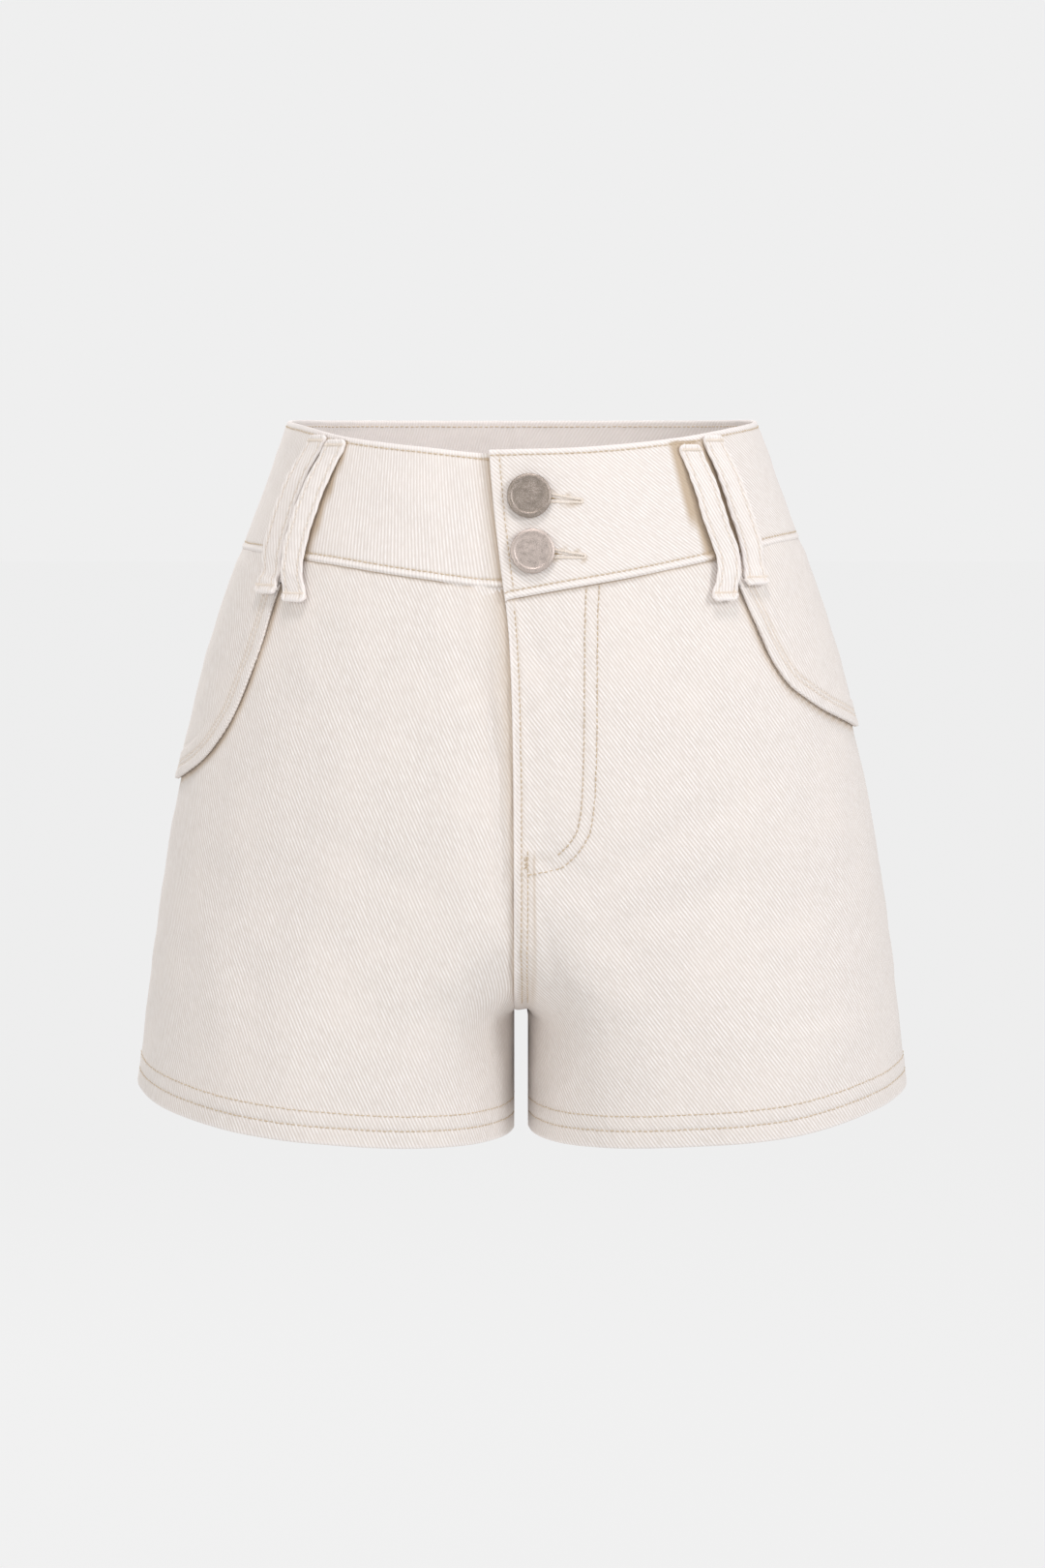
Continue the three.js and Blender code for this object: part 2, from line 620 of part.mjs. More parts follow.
const clothPieces = {
  front_left: () => panel(LEFT, false),
  front_right: () => panel(RIGHT, false),
  back_left: () => panel(LEFT, true),
  back_right: () => panel(RIGHT, true),
  fly_underlap: flyUnderlap,
  waistband,
  hip_flap_left: () => hipFlap(LEFT),
  hip_flap_right: () => hipFlap(RIGHT),
};
for (const [name, make] of Object.entries(clothPieces)) {
  add(name, new THREE.Mesh(make(), paint('denim')));
}
for (const loop of LOOPS) {
  add(loop.name, new THREE.Mesh(beltLoop(loop), paint('denim')));
}
for (const button of BUTTONS) {
  add(button.name, buttonMesh(button));
}

export default shorts;
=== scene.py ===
"""High-waisted denim shorts: cream cotton twill, sewn with beige thread, closed by two metal jeans buttons.

The cloth is laid over one body surface. A place on it is a side (-1 left, 1 right, in front view), a distance around
that side (0 at the front seam, 1 at the side seam, 2 at the back seam) and a height z. Sizes are in millimetres until
a mesh is made.
"""

import math
from collections import namedtuple

import bpy
import numpy as np
from mathutils import Matrix, Vector


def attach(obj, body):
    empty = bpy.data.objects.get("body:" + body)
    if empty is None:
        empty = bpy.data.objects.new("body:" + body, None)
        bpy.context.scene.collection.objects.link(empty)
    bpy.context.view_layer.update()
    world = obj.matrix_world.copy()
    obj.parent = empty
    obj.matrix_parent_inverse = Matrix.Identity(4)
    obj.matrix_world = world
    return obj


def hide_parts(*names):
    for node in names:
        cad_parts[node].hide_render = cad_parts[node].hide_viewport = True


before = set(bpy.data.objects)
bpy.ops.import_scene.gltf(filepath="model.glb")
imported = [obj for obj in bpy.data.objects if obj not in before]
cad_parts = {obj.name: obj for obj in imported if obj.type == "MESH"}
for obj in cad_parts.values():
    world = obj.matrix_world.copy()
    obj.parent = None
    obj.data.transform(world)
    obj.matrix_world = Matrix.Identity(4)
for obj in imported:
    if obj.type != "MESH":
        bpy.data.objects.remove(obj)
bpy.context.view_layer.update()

bl_info = {
    "name": "Denim shorts",
    "version": (1, 0, 0),
    "blender": (4, 5, 0),
    "location": "View3D > Sidebar > Shorts",
    "description": "Makes the cloth, sewing, buttons and stage of a pair of denim shorts",
    "category": "Object",
}

LEFT, RIGHT = -1, 1
rng = np.random.default_rng(7)


def table(columns, rows):
    """A small table as named columns."""
    return dict(zip(columns.split(), np.array(rows, float).T))


# Cloth: its thickness, and the height of the hem
DENIM = 1.2
HEM_TALL = 17.5
# Band: how far its middle lies out of the body surface, how far each end steps in or out where they lap, and its
# length over the cloth for each unit of height
BAND_THICK = 2.4
BAND_PROUD = 0.3
BAND_STEP = 1.4
BAND_TALL = 70
BAND_SLOPE = 1.04
# Flaps: how far the inside lies out, and how far the lower edge lifts off
FLAP_THICK = 1.6
FLAP_SEAT = 0.72
FLAP_LIFT = 0.9
# Loops: width, rough length, and greatest tilt in radians
LOOP_WIDE = 12.5
LOOP_TALL = 80
LOOP_TILT = 0.28

# Millimetres in one unit of the distance around, on a panel, the band and a flap
PANEL_ARC = 316
BAND_ARC = 170
FLAP_ARC = 240

# Sewn rows: their distance from the hem, from the band's lower edge, upper edge and right end, from a flap's edge and
# from the back seam
HEM_ROWS = (9, 16.5)
BAND_LOW_ROW = 3.9
BAND_TOP_ROW = 3
BAND_END_ROW = 5
FLAP_ROWS = (5.5, 8.2)
BACK_ROWS = (1.8, 7.2)
# Fly: how far apart its two curved rows are, where the inner one ends, the row beside the edge, the row beside the seam
# below the fly, and the heights between which that seam's felled edge starts
FLY_ROW_GAP = 6.3
INNER_ROW_END = -217
FLY_EDGE_ROW = 4
FORK_SEAM_ROW = 7
FELL_TOP = (-208, -216)
# Loops: rows at a share of half the width, and bar tacks at two shares of the length
LOOP_ROW = 0.6
LOOP_TACKS = (0.035, 0.948)

# The fork between the legs: its height, the insides of the legs, and how round it is
FORK_Z = -300
FORK_LEFT_X = -4.3
FORK_RIGHT_X = 2.8
FORK_ROUND = 4
# The saddle over the fork: how far it rises in front and behind and spreads to the sides, how far up the legs' insides
# meet, and how full it and the trunk are, where 2 is an ellipse. Legs turn into trunk between two heights
FRONT_RISE = 80
BACK_RISE = 95
FORK_SPREAD = 1.2
FORK_BLEND = 70
FORK_FULLNESS = 2.9
FULLNESS = 2.3
LEG_TOP, TRUNK_END = FORK_Z - 45, FORK_Z + 85
# The back seam, and the lower end of the strip behind the fly
BACK_SEAM_X = -0.7
FLY_END_Z = -224

# Body at each height: half width, and depth to the front and to the back
BODY = table("z width front back", [
    (0, 118.7, 87.0, 88.0),
    (-40, 132.9, 93.5, 97.0),
    (-80, 147.6, 99.5, 106.0),
    (-120, 160.5, 105.0, 114.0),
    (-160, 170.2, 109.0, 119.5),
    (-200, 179.0, 111.5, 121.5),
    (-250, 187.2, 110.5, 118.5),
    (-300, 193.7, 107.5, 111.0),
    (-366, 200.6, 104.0, 103.0),
])
# Height of the waist edge, the band's lower seam and the hem, on the left (L) and right (R)
EDGES = table("around waistL waistR seamL seamR hemL hemR", [
    (0.0, -15.0, -13.4, -80.8, -88.2, -361.8, -361.4),
    (0.2, -14.1, -13.0, -80.1, -84.5, -361.8, -361.9),
    (0.4, -11.4, -11.9, -75.8, -77.9, -360.3, -360.2),
    (0.6, -7.6, -7.9, -69.9, -69.1, -355.3, -356.1),
    (0.8, -2.0, -2.6, -66.3, -61.6, -347.4, -347.0),
    (1.0, 0.0, 0.0, -65.6, -60.4, -341.5, -341.8),
    (1.3, -0.6, -0.6, -65.6, -63.5, -350.0, -350.5),
    (1.6, -1.0, -1.0, -66.0, -65.8, -360.0, -360.5),
    (2.0, -1.1, -1.1, -66.4, -66.4, -361.3, -362.8),
])
# The edge of the right front: a slanted band end, the fly, then the front seam
FLY_EDGE = table("z x", [
    (0, -17.6), (-40, -14.4), (-70, -11.0), (-98, -7.4), (-130, -5.6), (-165, -4.8), (-230, -4.4), (-366, -4.3),
])
# Largest folds, as soft troughs (depth below 0) and ridges, in front view. face 1 is the front, -1 the back
FOLDS = table("face x1 z1 x2 z2 wide depth", [
    (1, -24, -96, -15, -262, 9, -1.6),
    (1, -40, -110, -32, -250, 12, 0.7),
    (1, 10, -214, 30, -236, 8, -1.4),
    (1, 13, -242, 22, -345, 9, -2.2),
    (1, -16, -262, -26, -345, 10, -1.5),
    (1, 34, -226, 128, -176, 8, -0.9),
    (1, 36, -250, 120, -224, 9, -0.8),
    (1, -34, -240, -120, -196, 9, -0.8),
    (1, -112, -200, -150, -330, 15, -1.2),
    (1, 112, -205, 152, -330, 15, -1.2),
    (-1, -14, -235, -30, -340, 10, -2.0),
    (-1, 13, -238, 28, -338, 10, -2.2),
    (-1, -40, -276, -128, -262, 10, -1.6),
    (-1, 38, -280, 132, -268, 10, -1.4),
    (-1, -30, -112, -96, -124, 8, -0.9),
    (-1, 26, -104, 88, -120, 8, -0.9),
])
# Finer creases that only the cloth's face shows
CREASES = table("face x1 z1 x2 z2 wide depth", [
    (1, -19, -80, -10, -262, 4.8, -1.5),
    (1, 6, -213, 17, -221, 2.6, -1.1),
    (1, 8, -206, 40, -228, 3.5, -0.7),
    (1, 12, -218, 36, -252, 4, 0.5),
    (1, 9, -232, 20, -300, 3, -0.5),
    (1, 24, -250, 60, -262, 5, -0.35),
    (1, 22, -268, 74, -284, 5, -0.3),
    (1, -10, -230, -34, -262, 4, -0.4),
    (1, -12, -268, -60, -300, 5, -0.3),
    (1, -14, -100, -13, -190, 3.5, 0.45),
    (1, -66, -92, -74, -150, 7, -0.3),
    (1, 62, -90, 70, -150, 7, -0.3),
    (1, -100, -110, -118, -170, 6, 0.3),
    (1, 96, -104, 118, -160, 6, 0.3),
    (1, -150, -210, -132, -300, 7, -0.35),
    (1, 150, -200, 128, -300, 7, -0.35),
    (-1, 8, -250, 44, -282, 4, -0.6),
    (-1, -8, -252, -46, -284, 4, -0.6),
    (-1, -20, -90, -70, -98, 4, -0.4),
    (-1, 22, -90, 74, -98, 4, -0.4),
    (-1, -60, -282, -120, -292, 6, 0.4),
    (-1, 60, -284, 120, -294, 6, 0.4),
])
# Lower edge of each hip flap from its front corner to its lowest point. The back half mirrors it
FLAP_EDGE = table("leftAt leftZ rightAt rightZ", [
    (0.698, -75, 0.653, -74),
    (0.709, -93, 0.663, -89),
    (0.715, -112, 0.675, -104),
    (0.731, -131, 0.69, -119),
    (0.753, -148, 0.717, -131),
    (0.785, -161, 0.755, -138.5),
    (0.825, -171, 0.805, -145.5),
    (0.882, -178, 0.868, -151),
    (0.953, -183, 0.946, -156),
    (1.03, -185, 1.035, -158.5),
])
# Belt loops: name, side, top under the waist edge, height of the lower end, how far that end lies out, how wide the
# painted shadow beside it on the band is towards the middle, and the distance around at five heights from top to bottom
Loop = namedtuple("Loop", "name side top bottom rest gap run")
LOOPS = [
    Loop("loop_left_outer", LEFT, 2.5, -87, 5.4, 1.2, (0.7, 0.728, 0.739, 0.738, 0.722)),
    Loop("loop_left_inner", LEFT, 2.5, -90, 4.0, 2.4, (0.634, 0.658, 0.672, 0.673, 0.648)),
    Loop("loop_right_inner", RIGHT, 4.5, -89, 4.0, 5.6, (0.634, 0.64, 0.64, 0.643, 0.612)),
    Loop("loop_right_outer", RIGHT, 2.0, -82, 4.8, 3.2, (0.7, 0.706, 0.707, 0.707, 0.692)),
    Loop("loop_back_left", LEFT, 3.0, -78, 3.1, 0.6, (1.832,) * 5),
    Loop("loop_back_right", RIGHT, 3.0, -78, 3.1, 0.6, (1.832,) * 5),
]
# How far a loop's middle layer stands off along it. The last two rows take the loop's own rest
LOOP_RUN = table("along lift", [
    (0.0, 3.1), (0.08, 3.1), (0.1, 3.4), (0.26, 5.3), (0.42, 5.9), (0.58, 5.9), (0.74, 5.4), (0.88, 4.6), (0.9, 4.4),
    (1.0, 4.0),
])
# Outer row of the curved stitching that closes the fly, in front view
FLY_CURVE = table("x z", [
    (38.0, -76), (37.1, -100), (36.8, -140), (36.5, -163), (35.6, -186), (33.7, -200), (31.3, -206), (27, -212),
    (21.5, -217.5), (16.5, -220), (7.9, -221.6), (2.2, -222.3),
])
# Buttons: name and middle in front view. Their buttonholes drop to the right, from a start to an end that far from it
BUTTONS = [("button_upper", 3.3, -36.2), ("button_lower", 4.9, -63.4)]
BUTTONHOLE_LEAN = 0.1
HOLE_START, HOLE_END = 8, 25.5
# A button in metres: its cap's thickness, the steps of the cap's face from its edge inwards as inset and rise, the lip
# turned in below, and the shank. CAP_SEAT is how far the cap's middle lies out from where it is fastened
CAP_THICK = 0.0025
CAP_STEPS = [(0.0011, 0.00045), (0.0008, 0.0), (0.0006, -0.00035), (0.0028, 0.00008), (0.003, 0.0001)]
CAP_SEAT = 0.00165
LIP_WIDE = 0.0009
LIP_TALL = 0.0004
SHANK_RADIUS = 0.0026
SHANK_LONG = 0.0033
EDGE_SOFT = 0.00022


def mix(a, b, t):
    return a + (b - a) * t


def ease(start, end, value):
    """A smooth step from 0 at start to 1 at end."""
    t = np.clip((value - start) / (end - start), 0, 1)
    return t * t * (3 - 2 * t)


def dip(distance, wide):
    """1 on a line, falling smoothly to 0 on both sides of it."""
    return np.exp(-((distance / wide) ** 2))


def curve(rows, key, column, at):
    """A smooth curve through one column of a table."""
    x, y = rows[key], rows[column]
    if x[0] > x[-1]:
        x, y = x[::-1], y[::-1]
    step = np.diff(x)
    rate = np.diff(y) / step
    inner = (step[1:] * rate[:-1] + step[:-1] * rate[1:]) / (step[1:] + step[:-1])
    slope = np.concatenate([rate[:1], inner, rate[-1:]])
    at = np.clip(at, x[0], x[-1])
    i = np.clip(np.searchsorted(x, at) - 1, 0, len(x) - 2)
    t = (at - x[i]) / step[i]
    near = y[i] * (1 + 2 * t) * (1 - t) ** 2 + y[i + 1] * t * t * (3 - 2 * t)
    return near + step[i] * (slope[i] * t * (1 - t) ** 2 + slope[i + 1] * t * t * (t - 1))


def numbered(**columns):
    """Columns with their row numbers in a column n, for curves that run from row to row."""
    first = next(iter(columns.values()))
    return {"n": np.arange(len(first), dtype=float), **columns}


def edge_z(name, side, around):
    """Height of the waist edge, the band's lower seam or the hem."""
    left = curve(EDGES, "around", name + "L", around)
    right = curve(EDGES, "around", name + "R", around)
    return np.where(np.asarray(side) < 0, left, right)


def seam_x(back, z):
    """Where the front or back seam lies in front view."""
    return np.where(back, BACK_SEAM_X, curve(FLY_EDGE, "z", "x", z))


def inner_x(side, back, z):
    """Where a side begins: at the seam, and below the fork at the inside of the leg."""
    down = np.clip((FORK_Z - z) / FORK_ROUND, 0, 1)
    rounded = np.sqrt(1 - (1 - down) ** 2)
    return mix(seam_x(back, z), np.where(np.asarray(side) < 0, FORK_LEFT_X, FORK_RIGHT_X), rounded)


def body(side, around, z):
    """The body surface. Near the fork the trunk turns into two legs through one smooth saddle."""
    side, around, z = np.broadcast_arrays(np.asarray(side, float), np.asarray(around, float), np.asarray(z, float))
    back = around > 1
    share = np.where(back, 2 - around, around)
    across = (1 - np.cos(np.pi * share)) / 2
    width = curve(BODY, "z", "width", z)
    depth = np.where(back, curve(BODY, "z", "back", z), curve(BODY, "z", "front", z))
    x = mix(inner_x(side, back, z), side * width, across)
    leg_edge = np.where(side < 0, FORK_LEFT_X, FORK_RIGHT_X)
    edge = side * mix(leg_edge, seam_x(back, z), ease(FORK_Z, FORK_Z + FORK_BLEND, z))
    from_edge = np.clip((side * x - edge) / (width - edge), 0, 1)
    rise = (z - FORK_Z) / np.where(back, BACK_RISE, FRONT_RISE)
    above = (rise + np.sqrt(rise**2 + (FORK_SPREAD * from_edge) ** 2)) / 2
    reach = np.minimum(0.5, from_edge + above / 2)
    saddle = (1 - (1 - 2 * reach) ** FORK_FULLNESS) ** (1 / FORK_FULLNESS)
    trunk = (1 - np.minimum(1, np.abs(x) / width) ** FULLNESS) ** (1 / FULLNESS)
    leg = np.where(across < 0.5, 1, np.sin(np.pi * share))
    y = depth * saddle * mix(leg, trunk, ease(LEG_TOP, TRUNK_END, z))
    return np.stack([x, np.where(back, y, -y), z], -1)


def outward(side, around, z):
    """Direction straight out of the body."""
    around = np.asarray(around, float)
    sideways = body(side, np.minimum(2, around + 0.02), z) - body(side, np.maximum(0, around - 0.02), z)
    upward = body(side, around, z + 1) - body(side, around, z - 1)
    out = np.cross(sideways, upward) * np.broadcast_to(np.asarray(side, float)[..., None], sideways.shape)
    return out / np.linalg.norm(out, axis=-1, keepdims=True)


def skin(side, around, z, out):
    """A point at some distance out from the body surface."""
    return body(side, around, z) + outward(side, around, z) * np.asarray(out)[..., None]


def around_at(side, x, z, back=False):
    """Distance around at which a side of the front or back has a given x."""
    inner = inner_x(side, back, z)
    across = np.clip((x - inner) / (side * curve(BODY, "z", "width", z) - inner), 0, 1)
    around = np.arccos(1 - 2 * across) / np.pi
    return 2 - around if back else around


def folds_at(rows, back, x, z):
    """How far the folds of a table lie out at a place in front view."""
    total = np.zeros(np.broadcast(x, z).shape)
    for face, x1, z1, x2, z2, wide, depth in zip(*rows.values()):
        if (face < 0) != back:
            continue
        run_x, run_z = x2 - x1, z2 - z1
        long = math.hypot(run_x, run_z)
        along = ((x - x1) * run_x + (z - z1) * run_z) / long**2
        off = ((x - x1) * run_z - (z - z1) * run_x) / long
        total += depth * np.exp(-(((along - 0.5) / 0.42) ** 4)) * dip(off, wide)
    return total


def unevenness(u, v, long, height):
    """Soft random bumps from a few waves whose lengths don't fit together."""
    total = np.zeros(np.broadcast(u, v).shape)
    waves = [(1.0, 0.31, 0.4), (0.77, -0.64, 2.1), (0.23, 0.97, 4.4), (1.37, 0.52, 1.2), (-0.58, 1.43, 5.3)]
    for a, b, start in waves:
        total += np.sin((a * u + b * v) * 2 * np.pi / long + start + 1.3 * np.sin(v * 2.2 / long))
    return total * height / len(waves)


def fly_lap(side, x, z):
    """How far a front lies out of the body surface beside the fly edge."""
    from_edge = np.abs(x - curve(FLY_EDGE, "z", "x", z))
    fade = ease(FORK_Z + 4, FORK_Z + 60, z)
    if side == RIGHT:
        return 0.8 * fade * (1 - ease(2, 9, from_edge))
    return -0.5 * fade * (1 - ease(1, 13, from_edge))


def from_curve(x, z, rows):
    """Distance in front view to a line given as a table, and the sign of the side it is on."""
    line = np.stack([rows["x"], rows["z"]], -1)
    best = np.full(np.broadcast(x, z).shape, 1e9)
    inside = np.zeros(best.shape)
    for (x1, z1), (x2, z2) in zip(line[:-1], line[1:]):
        t = np.clip(((x - x1) * (x2 - x1) + (z - z1) * (z2 - z1)) / ((x2 - x1) ** 2 + (z2 - z1) ** 2), 0, 1)
        away = np.hypot(x - mix(x1, x2, t), z - mix(z1, z2, t))
        turn = (x2 - x1) * (z - z1) - (z2 - z1) * (x - x1)
        inside = np.where(away < best, np.sign(turn), inside)
        best = np.minimum(best, away)
    return best * -inside


def span(a, b):
    """Distance between points."""
    return np.linalg.norm(a - b, axis=-1)


def unit(vectors):
    return vectors / np.linalg.norm(vectors, axis=-1, keepdims=True)


def from_line(points, line):
    """Distance from each point to the nearest point of a line."""
    flat = points.reshape(-1, 3)
    near = [
        np.sqrt(((part[:, None, :] - line[None]) ** 2).sum(-1)).min(1)
        for part in np.array_split(flat, max(1, len(flat) // 1500))
    ]
    return np.concatenate(near).reshape(points.shape[:-1])


def from_middle(side, around, z):
    """Distance from the front or back seam, straight over the cloth."""
    return span(body(side, around, z), body(side, np.where(np.asarray(around) > 1, 2.0, 0.0), z))


def round_nose(distance, radius):
    """1 inside a piece, falling to 0 at its edge as a rounded fold does."""
    return np.sqrt(1 - (1 - np.clip(distance / radius, 0, 1)) ** 2)


# Fronts and backs


def grooves(distance, rows, depth, wide):
    """What rows of stitches press into the cloth, each at its distance."""
    return depth * sum(dip(distance - row, wide) for row in rows)


def hem_relief(arc, over_hem):
    """The doubled hem, its sewn rows and the slanting ropes that its turning pulls into it."""
    doubled = 1 - ease(HEM_TALL - 0.6, HEM_TALL + 0.5, over_hem)
    roping = np.sin((arc / 6.6 + over_hem / 13) * 2 * np.pi * 0.8 + 1.7 * np.sin(arc / 27))
    turned = doubled * (0.4 + 0.13 * roping * ease(0, 3, over_hem))
    return turned - grooves(over_hem, HEM_ROWS, 0.35, 0.85) + 0.12 * roping * dip(over_hem - 20, 3.5)


def fly_relief(x, z, under_band, above_fork):
    """The fly's facing and sewn rows, the felled seam below it, and the puckers beside them."""
    from_edge = x - curve(FLY_EDGE, "z", "x", z)
    outer_row = from_curve(x, z, FLY_CURVE)
    facing = 0.4 * ease(-0.6, 1.4, outer_row) * (under_band < 145)
    inner_row = dip(outer_row - FLY_ROW_GAP, 0.8) * (z > INNER_ROW_END)
    relief = facing - 0.32 * (dip(outer_row, 0.8) + inner_row)
    felled = 0.9 * (1 - ease(8.8, 9.8, from_edge)) - 0.3 * dip(from_edge - FORK_SEAM_ROW, 0.7)
    relief += above_fork * (ease(*FELL_TOP, z) * felled - 0.3 * dip(from_edge - FLY_EDGE_ROW, 0.8))
    pucker = np.sin(z / 1.9 + 1.5 * np.sin(z / 11))
    relief += 0.14 * pucker * above_fork * dip(from_edge - 5, 5)
    return relief + 0.1 * np.sin((x + z) / 1.7) * dip(outer_row - 3, 4)


def panel_relief(side, back, around, z):
    """Form of a front's or back's outer face: creases, seams, sewn rows and the puckers beside them."""
    place = body(side, around, z)
    x, arc = place[..., 0], around * PANEL_ARC
    under_band = edge_z("seam", side, around) - z
    below = np.maximum(0, under_band)
    middle, edge = from_middle(side, around, z), span(place, body(side, 1.0, z))
    above_fork = ease(FORK_Z + 2, FORK_Z + 30, z)

    relief = folds_at(CREASES, back, x, z) + unevenness(arc * side, z, 46, 0.55) + unevenness(z, arc * side, 17, 0.16)
    relief += 0.22 * np.sin(arc / 2.6 + 2 * np.sin(arc / 19)) * np.exp(-below / 5) * (under_band > 0)
    relief = relief - 0.5 * np.exp(-below / 0.9) - 0.3 * dip(edge, 1.4) - 0.25 * dip(middle, 1.2) * (1 - above_fork)
    relief += hem_relief(arc, z - edge_z("hem", side, around))
    if back and side == RIGHT:
        lap = 0.45 * (1 - ease(8.2, 9.4, middle))
        relief += above_fork * (lap - grooves(middle, BACK_ROWS, 0.25, 0.7))
    if not back and side == LEFT:
        relief -= 1.3 * (1 - ease(22, 50, -x)) * np.exp(-below / 7)
    if not back and side == RIGHT:
        relief += fly_relief(x, z, under_band, above_fork)
    return relief


def panel_base(side, back, around, z):
    """How far a front or back lies out of the body surface, by its lap at the fly and its largest folds."""
    x = body(side, around, z)[..., 0]
    return (0 if back else fly_lap(side, x, z)) + folds_at(FOLDS, back, x, z)


def panel_face(side, back, around, z):
    """How far a front's or back's outer face lies out of the body surface."""
    return panel_base(side, back, around, z) + DENIM / 2 + panel_relief(side, back, around, z)


def panel_shade(side, back, around, z):
    """Where the cloth is pale with wear and a painted highlight (above 0), and where shade is painted tan in seams,
    sewn rows, under the band and the flaps, and beside the fly (below 0).
    """
    place = body(side, around, z)
    over_hem, under_band = z - edge_z("hem", side, around), edge_z("seam", side, around) - z
    shade = 0.4 * (1 - ease(0.8, 2.4, over_hem)) - 0.9 * np.exp(-np.maximum(0, under_band) / 0.8)
    shade = shade - 0.1 * dip(over_hem - HEM_ROWS[0], 0.9) - 0.12 * dip(over_hem - HEM_ROWS[1], 0.9)
    # Painted shadow under the flaps' lower edges, and painted shade in the side seam
    shade -= 0.95 * dip(from_flap_edge(side, around, z), 1.9)
    shade -= 0.25 * dip(span(place, body(side, 1.0, z)), 1.3)
    if back:
        return shade
    from_edge = place[..., 0] - curve(FLY_EDGE, "z", "x", z)
    above_fork = ease(FORK_Z + 2, FORK_Z + 20, z)
    if side == LEFT:
        # Painted shade beside the fly, where the left front dips under the right one
        beside = np.exp(-np.maximum(0, -from_edge) / mix(1.4, 5.5, ease(-240, -120, z)))
        return shade - 0.8 * above_fork * beside
    outer_row = from_curve(place[..., 0], z, FLY_CURVE)
    inner_row = dip(outer_row - FLY_ROW_GAP, 0.9) * (z > INNER_ROW_END)
    # The fly edge is pale with wear and painted highlight. Painted shade lies in its sewn rows and along the felled
    # seam below it
    edge = 0.5 * (1 - ease(0.8, 2, from_edge)) - 0.2 * dip(from_edge - FLY_EDGE_ROW - 0.4, 0.8)
    shade = shade + above_fork * edge - 0.14 * (dip(outer_row, 0.9) + inner_row)
    felled = (0.08 + 0.2 * ease(-262, -296, z)) * ease(1.5, 3, from_edge) * (1 - ease(9.6, 10.2, from_edge))
    felled = felled + 0.6 * dip(from_edge - 10.1, 0.6) + 0.15 * dip(from_edge - FORK_SEAM_ROW, 0.8)
    return shade - above_fork * ease(*FELL_TOP, z) * felled


def panel_heights(side, around):
    """Heights of a panel's rows: close together under the band, at the fork and in the hem."""
    under_band = np.array([-3.5, -1.5, 0, 0.7, 1.4, 2.3, 3.5, 5, 7])
    seam, hem = edge_z("seam", side, around), edge_z("hem", side, around)
    hem_rows = np.array([
        20.5, 19.2, 18.2, 17.6, 17.1, 16.5, 15.9, 15, 13.5, 12, 10.8, 9.8, 9.4, 9, 8.6, 7.8, 6.4, 5, 3.6, 2.4, 1.5, 0.9,
        0.5, 0.2, 0.05, 0,
    ])
    first, last = float(seam[0]) - 9, float(hem[0]) + 22.5
    saddle_tall = 74
    trunk = np.linspace(first, FORK_Z + saddle_tall, 52)
    saddle = FORK_Z + saddle_tall * np.linspace(1, 0, 37)[1:] ** 2
    legs = FORK_Z - np.array([0.08, 0.3, 0.7, 1.3, 2.1, 3.0, 4.0, 5.6, 7.6, 9.8])
    low = np.linspace(legs[-1], last, 13)[1:]
    heights = np.concatenate([trunk, saddle, legs, low])[:, None]
    share = (first - heights) / (first - last)
    main = heights + (1 - share) * (seam - seam[0]) + share * (hem - hem[0])
    return np.concatenate([seam - under_band[:, None], main, hem + hem_rows[:, None]])


def tucked_under(outer, inner, z):
    """Columns that carry the left front on to the right, under the fly."""
    reach = 4.5 * ease(FORK_Z + 6, FORK_Z + 50, z[:, 0])
    x = inner_x(LEFT, False, z[:, 0])[:, None] + reach[:, None] * np.array([1.0, 0.66, 0.33])
    height = np.repeat(z[:, :1], 3, axis=1)
    around = around_at(RIGHT, x, height)
    shift = folds_at(FOLDS, False, x, height) - 0.6
    more_outer, more_inner = (skin(RIGHT, around, height, shift + out) for out in (DENIM / 2, -DENIM / 2))
    ends = reach[:, None, None] == 0
    more_outer, more_inner = np.where(ends, outer[:, :1], more_outer), np.where(ends, inner[:, :1], more_inner)
    return np.concatenate([more_outer, outer], 1), np.concatenate([more_inner, inner], 1)


def panel_shell(side, back):
    """A front's or back's outer points, inner points and shade."""
    share = np.linspace(0, 1, 121)
    around = (2 - share if back else share)[None, :]
    z = panel_heights(side, around[0])
    around = np.broadcast_to(around, z.shape)
    x, limit = body(side, around, z)[..., 0], inner_x(side, back, z)
    over_hem = z - edge_z("hem", side, around)
    face = panel_face(side, back, around, z)
    turned_up = 1.3 * (1 - ease(HEM_TALL - 0.6, HEM_TALL + 0.7, over_hem))
    under = panel_base(side, back, around, z) - DENIM / 2 - turned_up
    nose = round_nose(over_hem, 1.4)
    if not back and side == RIGHT:
        above_fork = ease(FORK_Z + 6, FORK_Z + 40, z)
        nose *= mix(1, 0.15 + 0.85 * round_nose(x - limit, 0.7), above_fork)
    centre, half = (face + under) / 2, (face - under) / 2
    outer, inner = (skin(side, around, z, centre + part * nose) for part in (half, -half))
    for points in (outer, inner):
        points[..., 0] = np.minimum(points[..., 0], limit) if side == LEFT else np.maximum(points[..., 0], limit)
        points[..., 1] = np.maximum(points[..., 1], 0) if back else np.minimum(points[..., 1], 0)
    shade = panel_shade(side, back, around, z)
    if not back and side == LEFT:
        outer, inner = tucked_under(outer, inner, z)
        shade = np.concatenate([np.zeros((len(z), 3)), shade], 1)
    return outer, inner, shade


# Waistband


